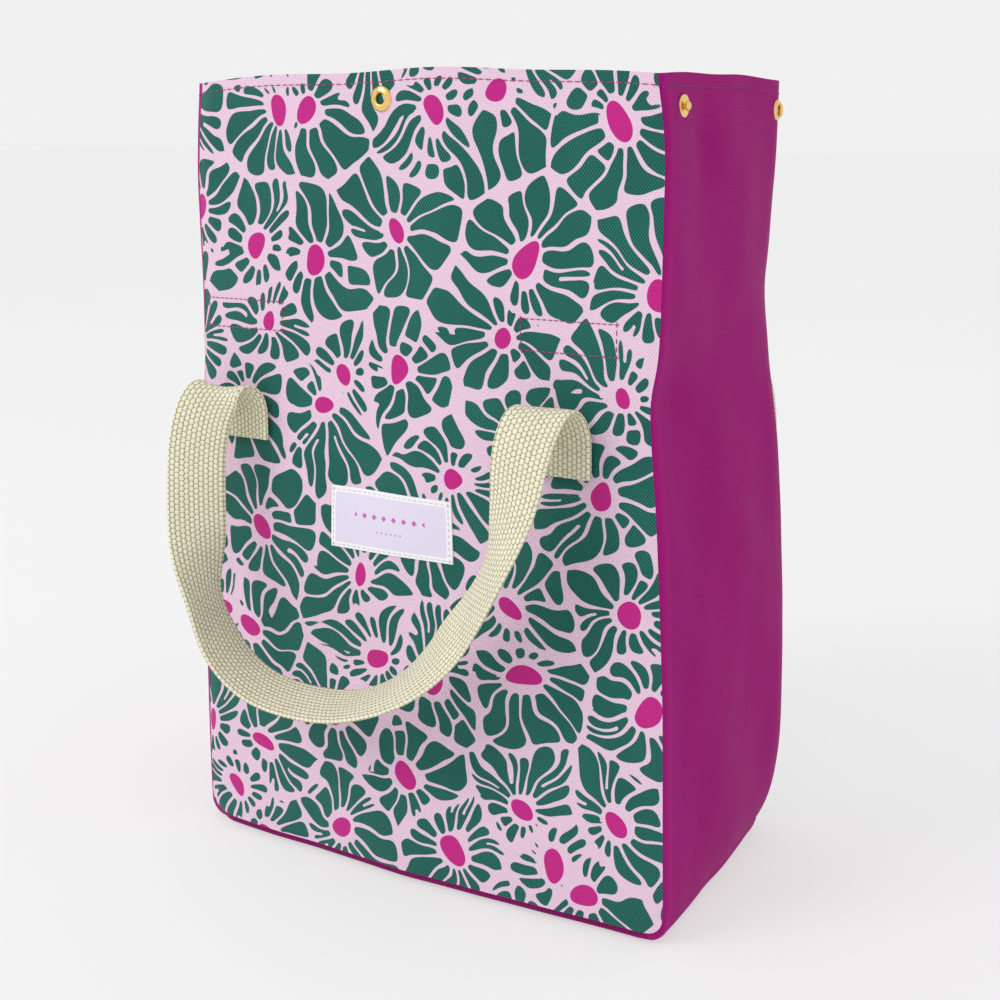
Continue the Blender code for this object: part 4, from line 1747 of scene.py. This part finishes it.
        # The edge on the outside of the loop: sideways on the legs, downwards at the foot.
        flat = tangents * np.array([1.0, 0.0, 1.0])
        hanging = eased((np.minimum(share, 1 - share) - self.crest_share) / self.crest_blend)
        beside = np.where(share < 0.5, spin, -spin) * np.array([[1.0, 0.0, 0.0]])
        around = np.stack([-flat[:, 2], np.zeros(len(flat)), flat[:, 0]], axis=1) * spin
        outer = beside * (1 - hanging) + around * hanging
        outer /= np.linalg.norm(outer, axis=1, keepdims=True)
        widths = outer * np.cos(turns)[:, None] + forward * np.sin(turns)[:, None]
        widths -= tangents * np.sum(widths * tangents, axis=1, keepdims=True)
        widths /= np.linalg.norm(widths, axis=1, keepdims=True)
        return places, widths, np.cross(tangents, widths)

    def strap(self, face: Face) -> bpy.types.Object:
        """Sweep the webbing's rounded section along the handle.

        Args:
            face: Which handle.

        Returns:
            The strap as one closed mesh.
        """
        places, widths, normals = self.frames(face)
        half_w, half_t = self.width / 2, self.thickness / 2
        top = [(u, half_t) for u in np.linspace(-half_w + half_t, half_w - half_t, 11)]
        turns = np.linspace(1.2, -1.2, 5)
        bend = [(half_w - half_t + half_t * math.cos(a), half_t * math.sin(a)) for a in turns]
        section = np.array(top + bend + [(-u, -t) for u, t in top] + [(-u, -t) for u, t in bend])
        count = len(section)
        cup = -0.0006 * (np.clip(np.abs(section[:, 0]) / half_w, 0, 1) ** 2)
        rings = (
            places[:, None, :]
            + widths[:, None, :] * section[None, :, 0, None]
            + normals[:, None, :] * (section[:, 1] + cup)[None, :, None]
        )
        run = np.concatenate([[0.0], np.cumsum(np.linalg.norm(np.diff(places, axis=0), axis=1))])
        faces = []
        for ring in range(len(places) - 1):
            for corner in range(count):
                beyond = (corner + 1) % count
                first, second = ring * count, (ring + 1) * count
                faces.append((first + corner, first + beyond, second + beyond, second + corner))
        last = (len(places) - 1) * count
        faces.append(tuple(range(count - 1, -1, -1)))
        faces.append(tuple(last + i for i in range(count)))
        points = rings.reshape(-1, 3)
        obj = plain_mesh(f"{face.title}_handle_webbing", points, faces, self.finishes.webbing)
        turn_outward(obj)
        self.unroll(obj, section, run, count)
        return obj

    def unroll(self, obj: bpy.types.Object, section: np.ndarray, run: np.ndarray, count: int) -> None:
        """Lay the strap's surface out flat, so that the weave follows it.

        Args:
            obj: The strap.
            section: Its section's points.
            run: Length along the strap at each ring.
            count: Points in one ring.
        """
        layer = obj.data.uv_layers.new(name="Cloth")
        lengths = np.concatenate([[0.0], np.cumsum(np.linalg.norm(np.diff(section, axis=0), axis=1))])
        closing = lengths[-1] + float(np.linalg.norm(section[0] - section[-1]))
        for polygon in obj.data.polygons:
            corners = [obj.data.loops[i].vertex_index % count for i in polygon.loop_indices]
            wraps = count - 1 in corners and 0 in corners
            for loop_index in polygon.loop_indices:
                vertex = obj.data.loops[loop_index].vertex_index
                corner = vertex % count
                u = closing if wraps and corner == 0 else lengths[corner]
                layer.data[loop_index].uv = (u, run[vertex // count])

    def stitch_ends(self, face: Face) -> None:
        """Sew a box of cream stitches on each sewn end."""
        runs = []
        y = face.value * (self.sewn_out * MM + self.thickness / 2 + 0.0001)
        low, high = self.box_rows
        for side in Side:
            left, right = (side.value * self.box_middle + way * self.box_half for way in (-1, 1))
            corners = np.array([(left, y, low), (right, y, low), (right, y, high), (left, y, high)])
            share = np.linspace(0, 1, 12)[:, None]
            runs += [a + (b - a) * share for a, b in zip(corners, np.roll(corners, -1, axis=0))]
        sewn = Stitching(pitch=0.0027, length=0.0022, radius=0.00024).sew(
            f"{face.title}_handle_stitches", runs, self.finishes.cream_thread
        )
        settle(sewn, Slot.THREAD)
        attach(sewn, "bag_body")


@dataclass
class PanelTrim(SewnPart):
    """What is sewn to the panels: the label, the stitched rectangles and the patches behind them.

    Attributes:
        label_shift: How far the label was sewn from its mark along X and Z.
        rectangle_extra: What a stitched rectangle gains on its half width and height.
        label_out: Distance of the label's face from the panel's.
        label_cloth: Thickness of the label.
        label_hem: How far inside its edge the label is stitched.
        patch_margin: How far a patch reaches past its stitches.
        patch_cloth: Thickness of a patch.
        cloth: Thickness of the panel's cloth.
    """

    label_shift: tuple[float, float] = (-0.0030, -0.0005)
    rectangle_extra: tuple[float, float] = (-0.0003, 0.0006)
    label_out: float = 0.0011
    label_cloth: float = 0.0008
    label_hem: float = 0.0013
    patch_margin: float = 0.003
    patch_cloth: float = 0.0009
    cloth: float = 0.0010

    def build(self) -> None:
        """Build the label, then each panel's rectangles and patches."""
        self.build_label()
        for face in Face:
            self.stitch_rectangles(face)
            for side in Side:
                self.build_patch(face, side)

    def half_of(self, node: str) -> tuple[float, float]:
        """Half the width and height of a node's box."""
        low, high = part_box(node)
        return (high[0] - low[0]) / 2, (high[2] - low[2]) / 2

    def on_panel(self, face: Face, x: np.ndarray, z: np.ndarray, out: float) -> np.ndarray:
        """Places at a distance out from a panel's outer surface."""
        y = self.shape.panel_y(face, x, z) + face.value * out
        return np.stack([x, y, z], axis=-1)

    def slab(
        self,
        name: str,
        face: Face,
        centre: tuple[float, float],
        half: tuple[float, float],
        out: float,
        thickness: float,
        material: bpy.types.Material,
    ) -> bpy.types.Object:
        """Build a thin sheet that follows a panel.

        Args:
            name: Name of the piece.
            face: Which panel.
            centre: X and Z of its middle.
            half: Half its width and height.
            out: Distance of its outer side from the panel's outer surface.
            thickness: Its thickness.
            material: Its material.

        Returns:
            The piece.
        """
        u, v = np.meshgrid(np.linspace(-half[0], half[0], 25), np.linspace(-half[1], half[1], 13))
        edge = np.minimum(half[0] - np.abs(u), half[1] - np.abs(v))
        roll = thickness * 0.45 * np.clip(1 - edge / 0.0012, 0, 1) ** 2
        surface = lambda a, b: self.on_panel(face, centre[0] + a, centre[1] + b, out)
        places = surface(u, v)
        places[..., 1] -= face.value * roll
        outward = np.array([0.0, face.value, 0.0])
        normals = surface_normals(surface, u, v, outward)
        spread = np.stack([-face.value * u, v], axis=-1)
        return SheetCut(places, normals, spread, thickness).mesh(name, material, material)

    def build_label(self) -> None:
        """Build the woven label and the stitches round it."""
        x, _, z = middle_of("front_label")
        centre, half = (x + self.label_shift[0], z + self.label_shift[1]), self.half_of("front_label")
        out, thick = self.label_out, self.label_cloth
        label = self.slab("front_label_cloth", Face.FRONT, centre, half, out, thick, self.finishes.label)
        settle(label, Slot.LABEL, ("front_label",))
        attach(label, "bag_body")
        runs = self.outline(Face.FRONT, centre, half, self.label_hem, out + 0.00015)
        sewn = Stitching(pitch=0.0026, length=0.0019, radius=0.00016).sew(
            "front_label_stitches", runs, self.finishes.cream_thread
        )
        settle(sewn, Slot.THREAD)
        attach(sewn, "bag_body")

    def outline(
        self, face: Face, centre: tuple[float, float], half: tuple[float, float], inset: float, out: float
    ) -> list[np.ndarray]:
        """Places along the four sides of a rectangle on a panel.

        Args:
            face: Which panel.
            centre: X and Z of the rectangle's middle.
            half: Half its width and height.
            inset: How far inside its edge the lines run.
            out: Distance out from the panel's outer surface.

        Returns:
            The places along each side.
        """
        w, h = half[0] - inset, half[1] - inset
        corners = np.array([(-w, -h), (w, -h), (w, h), (-w, h), (-w, -h)]) + np.array(centre)
        share = np.linspace(0, 1, 30)[:, None]
        sides = [a + (b - a) * share for a, b in zip(corners, corners[1:])]
        return [self.on_panel(face, side[:, 0], side[:, 1], out) for side in sides]

    def rectangle(self, face: Face, side: Side) -> tuple[tuple[float, float], tuple[float, float]]:
        """Middle and half size of a stitched rectangle."""
        node = f"{face.title}_{side.title}_fold_stitch"
        half, (x, _, z) = self.half_of(node), middle_of(node)
        return (x, z), (half[0] + self.rectangle_extra[0], half[1] + self.rectangle_extra[1])

    def stitch_rectangles(self, face: Face) -> None:
        """Sew the two rectangles above a handle's ends."""
        runs = []
        for side in Side:
            centre, half = self.rectangle(face, side)
            runs += self.outline(face, centre, half, 0.0, 0.00012)
        sewn = Stitching(pitch=0.0026, length=0.0024, radius=0.00022).sew(
            f"{face.title}_fold_stitches", runs, self.finishes.plum_thread
        )
        settle(sewn, Slot.THREAD, [f"{face.title}_{side.title}_fold_stitch" for side in Side])
        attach(sewn, f"{face.title}_top")

    def build_patch(self, face: Face, side: Side) -> None:
        """Build the patch behind one stitched rectangle."""
        centre, sewn = self.rectangle(face, side)
        half = (sewn[0] + self.patch_margin, sewn[1] + self.patch_margin)
        name = f"{face.title}_{side.title}_patch_cloth"
        out = -self.cloth - 0.0001
        patch = self.slab(name, face, centre, half, out, self.patch_cloth, self.finishes.plum)
        settle(patch, Slot.PLUM, (f"{face.title}_{side.title}_fold_patch",))
        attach(patch, f"{face.title}_top")


Profile = tuple[tuple[float, float], ...]
Axis = tuple[np.ndarray, np.ndarray]


@dataclass
class Snaps(SewnPart):
    """The three snaps: one through the hem strips, one on each gusset.

    Attributes:
        middle_shift: How far the sagging hem carries its snap along X and Z.
        radius: Outer radius of the snap in the hem strips.
        side_radius: Outer radius of the gusset snaps.
        side_shift: How far the gusset snaps were set towards their seams.
        cloth: Thickness of the cloth.
        steps: Steps round a turned part.
        backing: Half the width of the patch behind the middle snap.
        backing_cloth: Thickness of that patch.
    """

    middle_shift: tuple[float, float] = (-0.005, 0.0045)
    radius: float = 0.0050
    side_radius: float = 0.0042
    side_shift: float = 0.0020
    cloth: float = 0.0010
    steps: int = 48
    backing: float = 0.009
    backing_cloth: float = 0.0013

    def ring(self, r: float, hole: float, t: float) -> Profile:
        """Profile of a pressed ring of radius r and thickness t with a rolled inner lip."""
        return (
            (hole, -0.3 * t), (hole, 0.55 * t), (hole + 0.00035, 0.92 * t), (hole + 0.0008, t),
            (0.62 * r + 0.2 * hole, 0.86 * t), (r - 0.0007, 0.62 * t), (r - 0.0001, 0.30 * t), (r, 0.0),
            (r - 0.0004, -0.2 * t), (hole + 0.0006, -0.3 * t),
        )

    def stud(self, r: float, flange: float, height: float) -> Profile:
        """Profile of a stud of radius r: a dished flange, a neck and a ball."""
        ball = 0.0018
        rise = height - flange
        turns = np.linspace(-0.9, math.pi / 2, 9)
        dome = [(ball * math.cos(a), flange + rise * 0.5 + rise * 0.5 * math.sin(a)) for a in turns]
        dome[-1] = (0.0, height)
        return (
            (0.0, 0.0), (r * 0.92, 0.0), (r, flange * 0.35), (r * 0.98, flange * 0.8), (r * 0.9, flange),
            (r * 0.62, flange * 0.78), (0.0014, flange * 0.9), *dome,
        )

    def cap(self, r: float, height: float) -> Profile:
        """Profile of a low domed cap of radius r."""
        turns = np.linspace(0, math.pi / 2, 7)[:-1]
        dome = [(r * math.cos(a) ** 0.6, height * math.sin(a)) for a in turns]
        return ((0.0, 0.0), *dome, (0.0, height))

    def lathe(self, name: str, profile: Profile, seat: np.ndarray, axis: np.ndarray) -> bpy.types.Object:
        """Turn a profile about an axis.

        Args:
            name: Name of the piece.
            profile: Radius and height of each point, in order round the section.
            seat: Where height 0 lies.
            axis: Unit direction of rising height.

        Returns:
            The piece.
        """
        steps = self.steps
        around = Vector(axis).to_track_quat("Z", "Y").to_matrix()
        points: list[Vector] = []
        rings: list[list[int]] = []
        for radius, height in profile:
            ring = []
            for step in range(1 if radius < 1e-7 else steps):
                a = 2 * math.pi * step / steps
                local = Vector((radius * math.cos(a), radius * math.sin(a), height))
                ring.append(len(points))
                points.append(Vector(seat) + around @ local)
            rings.append(ring)
        faces: list[tuple[int, ...]] = []
        closed = profile[0][0] > 1e-7
        pairs = list(zip(rings, rings[1:])) + ([(rings[-1], rings[0])] if closed else [])
        for first, second in pairs:
            for step in range(steps):
                after = (step + 1) % steps
                if len(first) == 1 and len(second) == 1:
                    break
                if len(first) == 1:
                    faces.append((first[0], second[step], second[after]))
                elif len(second) == 1:
                    faces.append((first[step], second[0], first[after]))
                else:
                    faces.append((first[step], second[step], second[after], first[after]))
        obj = plain_mesh(name, points, faces, self.finishes.brass)
        obj.data.set_sharp_from_angle(angle=math.radians(50))
        turn_outward(obj)
        return obj

    def build(self) -> None:
        """Build every snap part on its own body."""
        for face in Face:
            self.build_middle(face)
            for side in Side:
                self.build_side(face, side)

    def add(self, name: str, profile: Profile, seat: Axis, body: str, node: str) -> None:
        """Turn one snap part and let it ride on a body in place of its CAD node."""
        part = self.lathe(name, profile, *seat)
        settle(part, Slot.BRASS, (node,))
        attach(part, body)

    def build_middle(self, face: Face) -> None:
        """Build one half of the snap through the hem strips, with the patch that backs it.

        Args:
            face: Which hem strip.
        """
        title, body = face.title, f"{face.title}_hem"
        x, _, z = middle_of(f"{title}_snap_ring")
        x, z = x + self.middle_shift[0], z + self.middle_shift[1]
        y = float(self.shape.panel_y(face, np.array([x]), np.array([z]))[0])
        out, place = np.array([0.0, float(face.value), 0.0]), np.array([x, y, z])
        ring = self.ring(self.radius, 0.0021, 0.0013)
        self.add(f"{title}_hem_ring", ring, (place + out * 0.0003, out), body, f"{title}_snap_ring")
        patch = PanelTrim(self.shape, self.finishes).slab(
            f"{title}_snap_backing",
            face,
            (x, z),
            (self.backing, self.backing),
            -self.cloth - 0.0001,
            self.backing_cloth,
            self.finishes.plum,
        )
        settle(patch, Slot.PLUM, (f"{title}_snap_patch",))
        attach(patch, body)
        seat = (place - out * (self.cloth + 0.0016), -out)
        if face is Face.FRONT:
            socket = self.ring(self.radius, 0.0022, 0.0019)
            self.add("front_hem_socket", socket, seat, body, "front_snap_socket")
        else:
            stud = self.stud(self.radius, 0.0010, 0.0028)
            self.add("back_hem_stud", stud, seat, body, "back_snap_stud")

    def build_side(self, face: Face, side: Side) -> None:
        """Build the snap half on one half of a gusset's hem.

        Args:
            face: Which half.
            side: Which gusset.
        """
        title = f"{face.title}_{side.title}"
        body = f"{title}_hem_half"
        _, y, z = middle_of(f"{title}_side_cap")
        along = (y + face.value * self.side_shift) / self.shape.half_depth
        place = self.shape.wall(side, np.array([along]), np.array([z]))[0]
        out = np.array([float(side.value), 0.0, 0.0])
        seat = (place + out * 0.0002, out)
        if face is Face.FRONT:
            stud = self.stud(self.side_radius, 0.0007, 0.0030)
            self.add(f"{title}_hem_stud", stud, seat, body, f"{title}_side_stud")
        else:
            socket = self.ring(self.side_radius, 0.0022, 0.0014)
            self.add(f"{title}_hem_socket", socket, seat, body, f"{title}_side_socket")
        inner = (place - out * (self.cloth + 0.0001), -out)
        cap = self.cap(self.side_radius, 0.0006)
        self.add(f"{title}_hem_cap", cap, inner, body, f"{title}_side_cap")


@dataclass
class Studio:
    """A pale sweep, soft light and the camera.

    Attributes:
        camera_place: Where the camera stands.
        azimuth: How far the camera stands round to the right, in degrees.
        elevation: How far it looks down, in degrees.
        lens: Focal length in mm on a 36 mm sensor.
        tone: Displayed grey of the background.
        floor_paint: Share of the tone that the floor reflects.
        floor_glow: How much the floor lights itself, which keeps its shadows faint.
        floor_reach: Half the floor's side.
        floor_drop: How far the floor lies below the bag.
        key_place: Where the key light hangs.
        key_size: Its side.
        key_watts: Its power.
        aim: Where it points.
    """

    camera_place: tuple[float, float, float] = (0.3752, -0.5942, 0.318)
    azimuth: float = 31.8
    elevation: float = 12.96
    lens: float = 56.9
    tone: int = 240
    floor_paint: float = 0.44
    floor_glow: float = 0.604
    floor_reach: float = 30.0
    floor_drop: float = 0.0006
    key_place: tuple[float, float, float] = (-0.9, -1.5, 1.5)
    key_size: float = 1.0
    key_watts: float = 14.0
    aim: tuple[float, float, float] = (0.0, 0.0, 0.16)

    def build(self) -> None:
        """Clear the startup objects, then set up the camera, the sweep and the lights."""
        for name in ("Cube", "Light", "Camera"):
            found = bpy.data.objects.get(name)
            if found is not None:
                bpy.data.objects.remove(found, do_unlink=True)
        bpy.context.scene.view_settings.view_transform = "Standard"
        self.build_camera()
        self.build_sweep()
        self.build_lights()

    def build_camera(self) -> None:
        """Place the camera."""
        camera = placed("view_camera", bpy.data.cameras.new("view_camera"))
        camera.data.lens = self.lens
        camera.data.sensor_width = 36.0
        camera.data.clip_start = 0.01
        camera.location = self.camera_place
        camera.rotation_euler = (math.radians(90 - self.elevation), 0.0, math.radians(self.azimuth))
        bpy.context.scene.camera = camera

    def build_sweep(self) -> None:
        """Lay a pale floor that runs far past the view."""
        far = self.floor_reach
        points = [(x, y, -self.floor_drop) for x, y in ((-far, -far), (far, -far), (far, far), (-far, far))]
        w = Weave("studio_floor")
        grain = w.noise(w.place(), 3.0, 2.0)
        glow = linear(self.tone, self.tone, self.tone)
        tone = tuple(channel * self.floor_paint for channel in glow[:3]) + (1.0,)
        dim = tuple(channel * 0.97 for channel in tone[:3]) + (1.0,)
        w.feed("Base Color", w.mix(grain, tone, dim))
        w.feed("Emission Color", glow)
        w.feed("Emission Strength", self.floor_glow)
        w.feed("Roughness", 0.9)
        w.feed("Specular IOR Level", 0.0)
        floor = plain_mesh("studio_floor", points, [(0, 1, 2, 3)], w.material)

    def build_lights(self) -> None:
        """Set an even pale surround and one large soft light from the upper left."""
        world = bpy.data.worlds.new("studio_surround")
        world.use_nodes = True
        background = world.node_tree.nodes["Background"]
        background.inputs["Color"].default_value = linear(self.tone, self.tone, self.tone)
        background.inputs["Strength"].default_value = 1.0
        bpy.context.scene.world = world
        lamp = bpy.data.lights.new("key_light", "AREA")
        lamp.size = self.key_size
        lamp.energy = self.key_watts
        light = placed("key_light", lamp)
        light.location = self.key_place
        aim = Vector(self.aim) - Vector(self.key_place)
        light.rotation_euler = aim.to_track_quat("-Z", "Y").to_euler()


def main() -> None:
    """Build the bag's looks and the studio."""
    logging.basicConfig(level=logging.INFO, format="%(name)s %(message)s")
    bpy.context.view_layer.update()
    shape = BagShape.measured()
    finishes = Finishes()
    Studio().build()
    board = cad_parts["base_board"].data.materials
    board.clear()
    board.append(finishes.board)
    Panels(shape, finishes).build()
    Band(shape, finishes).build()
    PanelTrim(shape, finishes).build()
    Handle(shape, finishes).build()
    Snaps(shape, finishes).build()
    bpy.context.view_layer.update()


if __name__ == "__main__":
    main()
